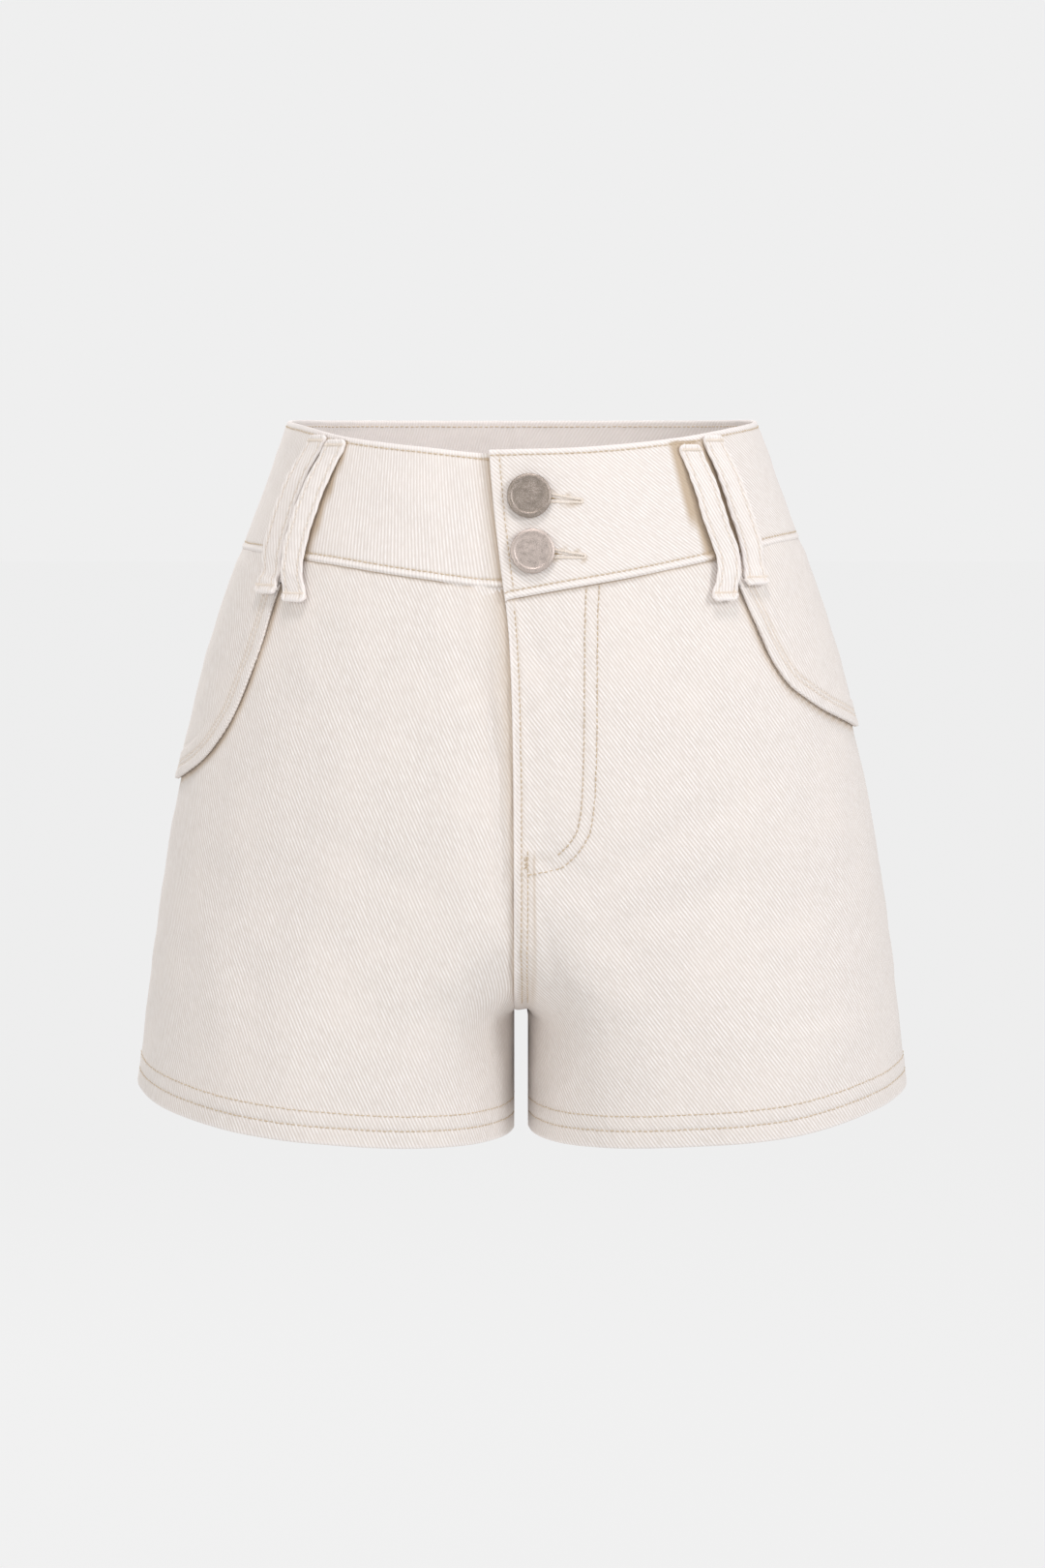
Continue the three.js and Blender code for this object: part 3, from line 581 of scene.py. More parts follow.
def band_place(turn, up):
    """Side, distance around, height, and how far the middle layer lies out. The band runs from turn 0, the left front
    at the fly, over 2, the back, to 4, the right front. Below 0 it goes on to the right under the right end."""
    turn, up = np.broadcast_arrays(np.asarray(turn, float), np.asarray(up, float))
    side = np.where(turn <= 2, LEFT, RIGHT)
    around = np.maximum(0, np.where(turn <= 2, turn, 4 - turn))
    passed = np.maximum(0, -turn / 0.3)
    z = mix(edge_z("seam", side, around) + 2.5 * passed, edge_z("waist", side, around), up)
    x = body(side, around, z)[..., 0]
    shift = np.where(side < 0, -BAND_STEP * (1 - ease(22, 48, -x)), BAND_STEP * (1 - ease(36, 64, x)))
    shift = np.where(around > 1, 0, shift)
    beyond = mix(curve(FLY_EDGE, "z", "x", z), 32, passed)
    under = turn < 0
    around = np.where(under, around_at(RIGHT, beyond, z), around)
    return np.where(under, RIGHT, side), around, z, BAND_PROUD + np.where(under, -BAND_STEP, shift)


def band_levels(turn, up):
    """Height above the band's lower edge and below its upper edge, and distance from its right end."""
    side, around, z, _ = band_place(turn, up)
    low, high = band_place(turn, np.zeros(z.shape))[2], band_place(turn, np.ones(z.shape))[2]
    x = body(side, around, z)[..., 0]
    last = np.where(np.asarray(turn) > 3, x - curve(FLY_EDGE, "z", "x", z), 99)
    return (z - low) * BAND_SLOPE, (high - z) * BAND_SLOPE, last


def band_relief(turn, up):
    """Form of the band's outer face: sewn rows, puckers, and creases beside the lap and towards the right loops."""
    side, around, z, _ = band_place(turn, up)
    above, below, last = band_levels(turn, up)
    x = body(side, around, z)[..., 0]
    arc = turn * BAND_ARC
    relief = unevenness(arc, z, 38, 0.45) + unevenness(z, arc, 15, 0.14) + 0.5 * dip(above - 1.6, 1.3)
    relief = relief - 0.32 * dip(above - BAND_LOW_ROW, 0.75) - 0.3 * dip(below - BAND_TOP_ROW, 0.8)
    relief -= 0.28 * dip(last - BAND_END_ROW, 0.8)
    relief += 0.12 * np.sin(arc / 2.3 + 2 * np.sin(arc / 17)) * (dip(above - 5, 3) + 0.7 * dip(below - 4, 3))
    left_front = (np.asarray(turn) >= 0) & (np.asarray(turn) < 1)
    relief += left_front * (0.35 * dip(x + 28, 4) - 1.0 * dip(x + 20, 3.6) - 0.3 * dip(x + 37, 5))
    right_front = np.asarray(turn) > 3
    return relief + right_front * (0.25 * dip(x - 44 - z / 4, 8) - 0.25 * dip(x - 60 - z / 3, 7))


def band_face(turn, up):
    """How far the band's outer face lies out of the body surface."""
    return band_place(turn, up)[3] + BAND_THICK / 2 + band_relief(turn, up)


def on_band(turn, up, proud=0.05):
    """Points on the band's outer face and the direction it faces."""
    side, around, z, _ = band_place(turn, up)
    return skin(side, around, z, band_face(turn, up) + proud), outward(side, around, z)


def loop_around(loop, along):
    """Distance around of a loop's middle, from 0 at its top to 1 at its lower end."""
    return curve(numbered(at=np.array(loop.run)), "n", "at", along * (len(loop.run) - 1))


def band_shade(turn, up):
    """Pale along the band's rolled edges with wear and painted highlight, and a little paler over all; painted tan
    shade in its sewn rows, round the buttonholes, under the belt loops and beside the lap."""
    side, around, z, _ = band_place(turn, up)
    place = body(side, around, z)
    above, below, last = band_levels(turn, up)
    shade = 0.1 + 0.5 * (1 - ease(1.6, 2.6, below)) + 0.4 * dip(above - 1.6, 1.1) + 0.4 * (1 - ease(0.8, 2, last))
    shade = shade - 0.4 * dip(above - BAND_LOW_ROW, 0.8) - 0.45 * dip(below - BAND_TOP_ROW - 0.1, 0.8)
    shade -= 0.4 * dip(last - BAND_END_ROW, 0.8)
    # Painted shade beside the lap, where the left end goes under the right one
    beside = np.maximum(0, curve(FLY_EDGE, "z", "x", z) - place[..., 0])
    shade -= 0.95 * (turn < 1) * (turn >= 0) * np.exp(-beside / 4)
    # Painted shadow of each belt loop on the band, wider on the side towards the middle
    for loop in LOOPS:
        along = (z + 4) / (loop.bottom + 4)
        middle = loop_around(loop, along)
        taper = np.sin(np.pi * np.clip(along, 0, 1) ** 0.6)
        open_to = LOOP_WIDE / 2 - 1 + np.where(around < middle, 1 + loop.gap, 1) * taper
        under = 1 - ease(open_to - 1.6, open_to + 1.3, span(place, body(loop.side, middle, z)))
        shade -= 1.6 * under * (side == loop.side) * (z < -9)
    # Painted shade round each buttonhole
    for _, x, seat in BUTTONS:
        from_button = place[..., 0] - x
        level = np.abs(z - seat + BUTTONHOLE_LEAN * from_button)
        ring = dip(level - mix(3.2, 1.7, ease(HOLE_START, HOLE_END + 0.5, from_button)), 0.5)
        ring = ring * ease(HOLE_START, HOLE_START + 1, from_button)
        shade -= 0.8 * ring * (1 - ease(HOLE_END + 1, HOLE_END + 1.5, from_button)) * (turn > 3)
    return np.clip(shade, -1, 1)


def band_shell():
    """The band's wall and shade, and how far its twill's ribs lean in each column."""
    turn = np.concatenate([np.linspace(-0.3, 0, 14)[:-1], np.linspace(0, 4, 289)])
    above = np.array([0, 0.05, 0.2, 0.5, 0.9, 1.3, 1.8, 2.3, 2.8, 3.2, 3.6, 3.9, 4.2, 4.6, 5.2, 6.2])
    below = np.array([6, 5, 4.2, 3.7, 3.3, 3, 2.7, 2.3, 1.8, 1.2, 0.8, 0.45, 0.2, 0.05, 0])
    between = np.linspace(7.8 / BAND_TALL, 1 - 7.6 / BAND_TALL, 24)
    up = np.concatenate([above / BAND_TALL, between, 1 - below / BAND_TALL])
    turn, up = np.meshgrid(turn, up)
    side, around, z, middle = band_place(turn, up)
    nose = math.prod(round_nose(level + 0.1, 1.3) for level in band_levels(turn, up))
    outer = skin(side, around, z, middle + (BAND_THICK / 2 + band_relief(turn, up)) * nose)
    inner = skin(side, around, z, middle - (BAND_THICK / 2 - 0.3 * unevenness(turn * BAND_ARC, z, 30, 0.6)) * nose)
    return outer, inner, band_shade(turn, up), mix(86, 42, ease(1.2, 2.8, turn[0]))


# Hip flaps


def flap_edge(side, t):
    """Distance around and height of a flap's lower edge, from t 0, its front corner, to 1, its back corner."""
    key = "left" if side == LEFT else "right"
    rows = numbered(at=FLAP_EDGE[key + "At"], z=FLAP_EDGE[key + "Z"])
    last = rows["n"][-1]
    n = last * 2 * np.asarray(t, float)
    mirrored = n > last
    n = np.where(mirrored, 2 * last - n, n)
    around = curve(rows, "n", "at", n)
    return np.where(mirrored, 2 * rows["at"][-1] - around, around), curve(rows, "n", "z", n)


def flap_place(side, t, down):
    """Distance around and height of a place on a flap, from its top (down 0) to its lower edge (down 1)."""
    front, lowest = flap_edge(side, 0.0)[0], flap_edge(side, 0.5)[0]
    top_at = mix(front, 2 * lowest - front, t)
    low_at, low_z = flap_edge(side, t)
    return mix(top_at, low_at, down), mix(edge_z("seam", side, top_at) + 1.2, low_z, down)


def from_flap_edge(side, around, z):
    """Distance from a flap's lower edge."""
    at, low = flap_edge(side, np.linspace(0, 1, 260))
    return from_line(body(side, around, z), body(side, at, low))


def flap_face(side, around, z, down):
    """How far a flap's outer face lies out, how thick it is there, and how far its edge is."""
    edge = from_flap_edge(side, around, z)
    x = body(side, around, z)[..., 0]
    folds = np.where(around > 1, folds_at(FOLDS, True, x, z), folds_at(FOLDS, False, x, z))
    top = ease(0, 9, edge_z("seam", side, around) - z)
    seat = FLAP_SEAT + np.maximum(folds, 0) + FLAP_LIFT * down**4 * top
    relief = 0.55 * (1 - ease(13.4, 15.2, edge)) - grooves(edge, FLAP_ROWS, 0.42, 0.8) - 0.2 * dip(edge - 15.4, 1)
    relief = relief + 0.2 * dip(edge - 2.4, 2) + unevenness(around * FLAP_ARC, z, 24, 0.3)
    relief += 0.2 * np.sin(around * 120 + z / 3 + 2 * np.sin(around * 31)) * dip(edge - 7, 5)
    thick = mix(0.7, FLAP_THICK, top) + relief * top
    return seat + thick, thick, edge


def flap_shell(side):
    """A flap's outer points, inner points and shade."""
    t = np.linspace(0, 1, 171)
    down = np.concatenate([np.linspace(0, 0.8, 40)[:-1], 0.8 + 0.2 * np.linspace(0, 1, 30) ** 0.72])
    t, down = np.meshgrid(t, down)
    around, z = flap_place(side, t, down)
    face, thick, edge = flap_face(side, around, z, down)
    nose = np.where(down > 0.5, round_nose(edge + 0.05, 1.1), 1)
    centre = face - thick / 2
    outer, inner = (skin(side, around, z, centre + half * nose) for half in (thick / 2, -thick / 2))
    # Shade: the edge is pale with wear and painted highlight, and painted shade lies in the sewn rows
    return outer, inner, 0.3 * (1 - ease(0.6, 1.6, edge)) - grooves(edge, FLAP_ROWS, 0.32, 0.8)


# Belt loops


def loop_place(loop, along, across):
    """Points on a loop's middle layer and the direction it faces. across runs from -1 to 1 over its width."""
    run = loop.run
    lift = {**LOOP_RUN, "lift": np.append(LOOP_RUN["lift"][:-2], [loop.rest, loop.rest])}
    curl = 2.2 * ease(0.9, 1.03, along) ** 2 + 0.7 * ease(0.05, -0.02, along) ** 2
    corner = np.clip((np.abs(along - 0.5) - 0.462) / 0.038, 0, 1)
    width = 1 + 0.14 * ease(0.88, 0.95, along) - 0.42 * (1 - np.sqrt(1 - corner**2))
    width = width + 0.022 * np.sin(along * 31 + run[0] * 60) + 0.014 * np.sin(along * 71 + run[4] * 90)
    width += 0.05 * ease(0.9, 0.98, along) * np.sin(along * 190 + across * 1.7 + run[0] * 40)
    z = mix(float(edge_z("waist", loop.side, run[0])) - loop.top, loop.bottom, along)
    around = loop_around(loop, along)
    out = outward(loop.side, around, z)
    level = body(loop.side, around + 0.01, z) - body(loop.side, around - 0.01, z)
    level[..., 2] = 0
    level = unit(level)
    tilt = (0 if run[0] > 1 else LOOP_TILT) * np.sin(np.pi * along)
    sin, cos = np.sin(tilt)[..., None], np.cos(tilt)[..., None]
    sideways, face = level * cos + out * sin, out * cos - level * sin
    centre = skin(loop.side, around, z, curve(lift, "along", "lift", along) + curl)
    return centre + sideways * (across * width * LOOP_WIDE / 2)[..., None], face


def loop_half(along, across):
    """Half a loop's thickness: a folded strip with two sewn rows, turned under and rolled at its ends."""
    turned = (1 - ease(0.07, 0.1, along)) + ease(0.875, 0.9, along)
    roll = 0.6 + 0.25 * np.sin(across * 4.2 + along * 9) + 0.15 * np.sin(across * 11)
    half = mix(1.8, 2.7, turned) / 2 + roll * dip(along - 0.978, 0.013)
    half = half - 0.16 * dip(np.abs(across) - LOOP_ROW, 0.1) + 0.07 * dip(across, 0.3)
    half = half - 0.22 * dip(along - LOOP_TACKS[0], 0.012) - 0.4 * dip(along - LOOP_TACKS[1], 0.011)
    half = half + 0.07 * np.sin(along * 70 + across * 3) + 0.05 * np.sin(along * 41 + 2)
    half += 0.1 * turned * np.sin(along * 190 + across * 5) * np.cos(across * 9 + along * 60)
    nose = round_nose((1 - np.abs(across)) * LOOP_WIDE / 2 + 0.05, 0.95)
    return half * nose * round_nose(from_ends(along) + 0.1, 1.2)


def from_ends(along):
    """Distance from the nearer end of a loop."""
    return np.minimum(along, 1 - along) * LOOP_TALL


def loop_shell(loop):
    """A loop's outer points, inner points and shade."""
    along = np.concatenate([[0, 0.002, 0.006, 0.012], np.linspace(0.018, 0.982, 84), [0.988, 0.994, 0.998, 1]])
    across = np.array([-1, -0.985, -0.95, -0.88, -0.78, -0.7, -0.62, -0.54, -0.44, -0.25, 0])
    across, along = np.meshgrid(np.concatenate([across, -across[-2::-1]]), along)
    middle, face = loop_place(loop, along, across)
    thick = face * loop_half(along, across)[..., None]
    # Shade: the loop is paler over all and at its sides as painted highlight, pale at its cut ends with wear, and
    # painted shade lies in its sewn rows
    shade = 0.25 + 0.4 * ease(0.86, 0.96, np.abs(across)) + 0.5 * (1 - ease(0.8, 2, from_ends(along)))
    shade -= 0.6 * dip(np.abs(across) - LOOP_ROW, 0.09)
    return middle + thick, middle - thick, np.clip(shade, -1, 1)


def strip_shell():
    """The cloth strip behind the fly."""
    first, last = -22, 35
    x, down = np.meshgrid(np.linspace(first, last, 34), np.linspace(0, 1, 60))
    z = mix(-78 - 6 * (x > 0), FLY_END_Z, down)
    side = np.where(x < curve(FLY_EDGE, "z", "x", z), LEFT, RIGHT)
    around = np.where(side < 0, around_at(LEFT, x, z), around_at(RIGHT, x, z))
    shift = np.minimum(0, folds_at(FOLDS, False, x, z)) - 2.2 + 0.4 * unevenness(x, z, 30, 0.5)
    nose = round_nose(np.minimum(x - first, last - x) + 0.05, 0.7)
    outer, inner = (skin(side, around, z, shift + half * nose) for half in (DENIM / 2, -DENIM / 2))
    return outer, inner, np.zeros(x.shape)


# Making meshes

# Millimetres of cloth in one unit of the UV map, and the column that it starts from as a share of them all
UV_UNIT = 100
UV_START = 0.37


def wall_faces(rows, cols):
    """Faces of a closed wall whose outer points come first and inner points second, both row by row."""
    ids = np.arange(rows * cols).reshape(rows, cols)
    front = np.stack([ids[:-1, :-1], ids[:-1, 1:], ids[1:, 1:], ids[1:, :-1]], -1).reshape(-1, 4)
    ring = np.concatenate([ids[0], ids[1:, -1], ids[-1, -2::-1], ids[-2:0:-1, 0]])
    ahead = np.roll(ring, -1)
    rim = np.stack([ahead, ring, ring + rows * cols, ahead + rows * cols], -1)
    return np.concatenate([front, front[:, ::-1] + rows * cols, rim])


def new_piece(name, points, faces, material):
    """A piece from points in millimetres and lists of points for its faces, with one material."""
    mesh = bpy.data.meshes.new(name)
    mesh.from_pydata(points * 0.001, [], faces)
    mesh.materials.append(material)
    mesh.shade_smooth()
    piece = bpy.data.objects.new(name, mesh)
    bpy.context.scene.collection.objects.link(piece)
    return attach(piece, "root")


def wall_piece(name, outer, inner, material):
    """A closed wall between two grids of points, its faces turned outwards."""
    points = np.concatenate([outer.reshape(-1, 3), inner.reshape(-1, 3)])
    faces = wall_faces(*outer.shape[:2])
    a, b, c = (points[faces[:, n]] for n in range(3))
    if np.einsum("ij,ij->i", a, np.cross(b, c)).sum() < 0:
        faces = faces[:, ::-1]
    return new_piece(name, points, faces.tolist(), material)


def cloth_piece(name, wall, grain, turned=False, facing=0, even=False, inner_shade=0):
    """A wall of cloth from its outer points, inner points and shade. Its UV map "cloth" gives places on the cloth in
    units of 100 mm, turned so that U crosses the twill's ribs, which lean by grain degrees from the horizontal. grain
    is one number, or one for each column. facing is 1 for a front and -1 for a back, whose grain hangs straight down,
    and 0 for cloth whose grain follows its columns, all of them where it is even. The shade is above 0 where the cloth
    is pale with wear and painted highlight and below 0 where shade is painted tan; on the inside it is at least
    inner_shade, a painted light that lifts the inside."""
    outer, inner, shade = wall[:3]
    rows, cols = outer.shape[:2]
    piece = wall_piece(name, outer, inner, finish_of("cream cotton twill"))
    lean = np.radians(np.broadcast_to(grain, cols))
    steps = span(outer[:, 1:, :2], outer[:, :-1, :2]) * (-1 if turned else 1)
    if even:
        steps = np.broadcast_to(steps[rows // 2], steps.shape)
    start, down = int(UV_START * cols), -outer[..., 2]
    flat = []
    for across_share, down_share in ((np.sin(lean), -np.cos(lean)), (np.cos(lean), np.sin(lean))):
        run = np.concatenate([np.zeros((rows, 1)), np.cumsum(steps * across_share[1:], 1)], 1)
        hang = facing * outer[:, start:start + 1, 0] * across_share[start]
        flat.append(run - run[:, start:start + 1] + hang + down * down_share)
    flat = np.tile(np.stack(flat, -1).reshape(-1, 2) / UV_UNIT, (2, 1))
    uv = piece.data.uv_layers.new(name="cloth")
    loops = np.zeros(len(piece.data.loops), np.int32)
    piece.data.loops.foreach_get("vertex_index", loops)
    uv.data.foreach_set("uv", flat[loops].astype(np.float32).ravel())
    # The shade goes on the cloth as an attribute: wear and painted highlight above 0, painted shade below 0
    tint = piece.data.attributes.new("wear_and_painted_light", "FLOAT", "POINT")
    # Inside, the shade is raised to at least inner_shade: painted light that lifts the dim inside
    both = np.concatenate([shade.ravel(), np.maximum(shade, inner_shade).ravel()])
    tint.data.foreach_set("value", both.astype(np.float32))
    return piece


def thread_mesh(name, stitches, material, sides=6):
    """Joins many short threads into one piece. Each row of stitches is a centre, the way the thread runs, the way it
    faces, its length and its width. A thread bows up in its middle and dips into the cloth at both ends."""
    centre, run, out, long, wide = (np.concatenate(part) for part in zip(*stitches))
    out = unit(out - run * np.einsum("ij,ij->i", out, run)[:, None])
    beside = np.cross(out, run)
    along = np.array([-0.5, -0.44, -0.22, 0.22, 0.44, 0.5])
    girth = np.array([0.0, 0.62, 1.0, 1.0, 0.62, 0.0])
    angle = np.linspace(0, 2 * np.pi, sides, endpoint=False)
    rings = []
    for t, g in zip(along, girth):
        bow = (0.34 - 2.6 * t * t) * wide
        middle = centre + run * (t * long)[:, None] + out * bow[:, None]
        for a in angle if g else angle[:1]:
            rings.append(middle + (beside * math.cos(a) * 0.5 + out * math.sin(a) * 0.42) * (g * wide)[:, None])
    count, each = len(centre), len(rings)
    points = np.stack(rings, 1).reshape(-1, 3)
    faces = []
    for ring in range(3):
        for n in range(sides):
            a, b = 1 + ring * sides + n, 1 + ring * sides + (n + 1) % sides
            faces.append((a, b, b + sides, a + sides))
    for n in range(sides):
        a, b = 1 + n, 1 + (n + 1) % sides
        faces.append((0, b, a, a))
        faces.append((each - 1, a + 3 * sides, b + 3 * sides, b + 3 * sides))
    every = (np.array(faces) + (np.arange(count) * each)[:, None, None]).reshape(-1, 4)
    quads, tips = every[every[:, 2] != every[:, 3]], every[every[:, 2] == every[:, 3]][:, :3]
    return new_piece(name, points, quads.tolist() + tips.tolist(), material)


def sewn_row(points, facing, long, gap=0.45, wide=0.55, sway=0.12):
    """Stitches along a line of points on the cloth."""
    travel = np.concatenate([[0], np.cumsum(span(points[1:], points[:-1]))])
    count = max(1, int(travel[-1] / (long + gap)))
    middle = (np.arange(count) + 0.5) * travel[-1] / count + rng.uniform(-0.15, 0.15, count)

    def along(values, shift=0.0):
        return np.stack([np.interp(middle + shift, travel, values[:, n]) for n in range(3)], -1)

    run, out = unit(along(points, 0.6) - along(points, -0.6)), unit(along(facing))
    side = np.cross(out, run)
    run = unit(run + side * rng.uniform(-0.07, 0.07, count)[:, None])
    at = along(points) + side * rng.uniform(-sway, sway, count)[:, None]
    return at, run, out, long * rng.uniform(0.92, 1.04, count), wide * rng.uniform(0.9, 1.08, count)


def bars(points, facing, run, long, wide=0.5):
    """Threads side by side, one at each point, as in a bar tack or round a buttonhole."""
    count = len(points)
    return points, unit(run), unit(facing), long * rng.uniform(0.88, 1.1, count), wide * rng.uniform(0.9, 1.1, count)


# Materials


def linear(colour):
    """An sRGB hex colour as the linear colour that shaders take."""
    parts = [int(colour[n:n + 2], 16) / 255 for n in (1, 3, 5)]
    return (*(c / 12.92 if c <= 0.04045 else ((c + 0.055) / 1.055) ** 2.4 for c in parts), 1.0)


def fill(tree, node, inputs):
    """Gives each input of a node a value, or links it to another node's output."""
    for socket, source in inputs.items():
        if isinstance(source, bpy.types.NodeSocket):
            tree.links.new(source, node.inputs[socket])
        else:
            node.inputs[socket].default_value = source


def add_node(tree, kind, inputs=None, output=0, **settings):
    """Adds a node with its settings and inputs, and gives one of its outputs."""
    made = tree.nodes.new(kind)
    for name, value in settings.items():
        setattr(made, name, value)
    fill(tree, made, inputs or {})
    return made.outputs[output]


def object_place(tree):
    return add_node(tree, "ShaderNodeTexCoord", output="Object")


def noise(tree, place, scale, detail=2.0):
    return add_node(tree, "ShaderNodeTexNoise", {"Vector": place, "Scale": scale, "Detail": detail}, "Fac")


def remap(tree, value, low, high, to_low, to_high):
    """A value whose range from low to high becomes the range from to_low to to_high."""
    return add_node(tree, "ShaderNodeMapRange", {0: value, 1: low, 2: high, 3: to_low, 4: to_high})


def blend(tree, share, first, second):
    """The colour that lies a share of the way from one colour to another."""
    return add_node(tree, "ShaderNodeMix", {0: share, 6: first, 7: second}, 2, data_type="RGBA", clamp_factor=True)


def maths(tree, operation, *terms):
    return add_node(tree, "ShaderNodeMath", dict(enumerate(terms)), operation=operation)


def bump(tree, height, strength, distance):
    return add_node(tree, "ShaderNodeBump", {"Height": height, "Strength": strength, "Distance": distance})


# Each of these adds a material's nodes and gives the inputs of its Principled shader. WAVE_LONG is the length of one
# wave of the wave texture at scale 1
WAVE_LONG = 0.31416


def cotton_twill(tree, look):
    """Cream 3/1 cotton twill of about 390 g a square metre. Slanted ribs of warp with pale weft between them, dry and
    matt, with a faint nap. The real ribs are about 0.8 mm apart, drawn at 1.65 mm so that they show. Patches are a
    little warmer, edges are pale with wear and painted highlight, and seams, sewn rows and places under edges are
    painted with tan shade."""
    uv, place = add_node(tree, "ShaderNodeUVMap", output="UV", uv_map="cloth"), object_place(tree)
    pitch = look.rib_pitch * 1000 / UV_UNIT
    ribs = add_node(tree, "ShaderNodeTexWave", {
        "Vector": uv, "Scale": WAVE_LONG / pitch, "Distortion": 0.55, "Detail": 2.0, "Detail Scale": 3.0,
    }, "Fac", bands_direction="X")
    yarn_scale = (UV_UNIT / 1.3, UV_UNIT / 5.5, 1)
    yarn = noise(tree, add_node(tree, "ShaderNodeMapping", {"Vector": uv, "Scale": yarn_scale}), 1.0)
    weave = maths(tree, "MULTIPLY_ADD", maths(tree, "MULTIPLY", ribs, yarn), 1.5, 0.1)
    warmer = remap(tree, noise(tree, place, 28.0, 3.0), 0.45, 0.75, 0.0, 0.35)
    painted_light_and_wear = add_node(tree, "ShaderNodeAttribute", output="Fac", attribute_name="wear_and_painted_light")
    colour = blend(tree, weave, look.cloth_shade, look.cloth)
    colour = blend(tree, warmer, colour, look.cloth_warm)
    # Pale with wear and painted highlight where the attribute is above 0, painted tan shade where it is below 0
    colour = blend(tree, remap(tree, painted_light_and_wear, 0, 1, 0, 0.8), colour, look.cloth_pale_wear_and_highlight)
    colour = blend(tree, remap(tree, painted_light_and_wear, 0, -1, 0, 0.85), colour, look.cloth_painted_shade)
    height = maths(tree, "MULTIPLY_ADD", noise(tree, place, 1500.0), 0.35, weave)
    return {
        "Base Color": colour, "Normal": bump(tree, height, 0.55, 0.00022), "Roughness": 0.94, "IOR": 1.45,
        "Specular IOR Level": 0.22, "Sheen Weight": 0.12, "Sheen Roughness": 0.6,
    }


def beige_thread(tree, look):
    """Beige spun polyester topstitching thread: two plies twisted, matt, a little darker than the cloth."""
    return spun_thread(tree, look.thread_shade, look.thread)


def cream_thread(tree, look):
    """The same spun polyester thread dyed nearly as pale as the cloth, so that it hardly shows."""
    return spun_thread(tree, look.thread_pale_shade, look.thread_pale)


def spun_thread(tree, dark, light):
    place = object_place(tree)
    plies = add_node(tree, "ShaderNodeTexWave", {"Vector": place, "Scale": 420.0, "Distortion": 1.0}, "Fac",
                     bands_direction="DIAGONAL")
    return {
        "Base Color": blend(tree, noise(tree, place, 160.0), dark, light), "Normal": bump(tree, plies, 0.4, 0.0001),
        "Roughness": 0.75, "IOR": 1.5, "Specular IOR Level": 0.3,
    }


def painted_slit_shadow(tree, look):
    """A dark sheet in a buttonhole's slit: painted shadow, dull tan where the cloth lies in shade."""
    nap = noise(tree, object_place(tree), 900.0)
    colour = blend(tree, nap, look.slit_shade, look.thread_shade)
    return {"Base Color": colour, "Roughness": 0.95, "Specular IOR Level": 0.2}


def raw_yarn(tree, look):
    """Cut ends of the cloth's own cotton yarn: soft, nearly white and matt."""
    colour = blend(tree, noise(tree, object_place(tree), 500.0), look.cloth_warm, look.cloth_pale_wear_and_highlight)
    return {"Base Color": colour, "Roughness": 0.95, "Specular IOR Level": 0.2, "Sheen Weight": 0.15}


def aged_nickel(tree, look):
    """Stamped, nickel-plated and tumbled button metal: dull warm grey with fine pits. It is painted lighter lower down,
    so that the upper button is darker than the lower one: a painted difference in reflection."""
    place = object_place(tree)
    cloud, pits = noise(tree, place, 420.0, 4.0), noise(tree, place, 2300.0)
    # Painted reflection: the metal is lighter lower down, from the upper button to the lower one
    painted_reflection = remap(tree, add_node(tree, "ShaderNodeSeparateXYZ", {0: place}, "Z"), -0.047, -0.052, 0.15, 0.85)
    specks, mottled = remap(tree, pits, 0.35, 0.65, -0.35, 0.35), remap(tree, cloud, 0.3, 0.7, -0.2, 0.2)
    share = maths(tree, "ADD", painted_reflection, maths(tree, "ADD", specks, mottled))
    return {
        "Base Color": blend(tree, share, look.metal_shade, look.metal), "Normal": bump(tree, pits, 0.8, 0.00012),
        "Roughness": remap(tree, cloud, 0.35, 0.65, 0.4, 0.55), "Metallic": 1.0,
    }


def stage_paper(tree, look):
    """Seamless matt paper, pale grey, evenly lit from behind."""
    return {
        "Base Color": look.backdrop_dark, "Roughness": 1.0, "Specular IOR Level": 0.0,
        "Emission Color": look.backdrop, "Emission Strength": look.backdrop_glow,
    }


FINISHES = {
    "cream cotton twill": cotton_twill,
    "beige topstitching thread": beige_thread,
    "cream topstitching thread": cream_thread,
    "buttonhole painted shadow": painted_slit_shadow,
    "frayed cotton yarn": raw_yarn,
    "aged nickel": aged_nickel,
    "pale grey paper": stage_paper,
}


def finish_of(name):
    """The material of that name, made the first time it is asked for."""
    material = bpy.data.materials.get(name)
    if material is None:
        material = bpy.data.materials.new(name)
        material.use_nodes = True
        tree = material.node_tree
        fill(tree, tree.nodes["Principled BSDF"], FINISHES[name](tree, chosen()))
    return material


# Sewing


def on_panel(side, back, around, z, proud=0.05):
    """Points on a front's or back's outer face and the direction it faces."""
    around, z = np.broadcast_arrays(np.asarray(around, float), np.asarray(z, float))
    return skin(side, around, z, panel_face(side, back, around, z) + proud), outward(side, around, z)


def hem_rows(side, back, long):
    """The two rows that hold a hem up, on a front or a back."""
    around = np.linspace(1, 1.955, 260) if back else np.linspace(0.045, 1, 260)
    hem = edge_z("hem", side, around)
    return [sewn_row(*on_panel(side, back, around, hem + height), long) for height in HEM_ROWS]


def beside_line(x, z, away):
    """A line in front view moved sideways, to the left of the way it runs."""
    run = unit(np.stack([np.gradient(x), np.gradient(z)], -1))
    return x - run[:, 1] * away, z + run[:, 0] * away


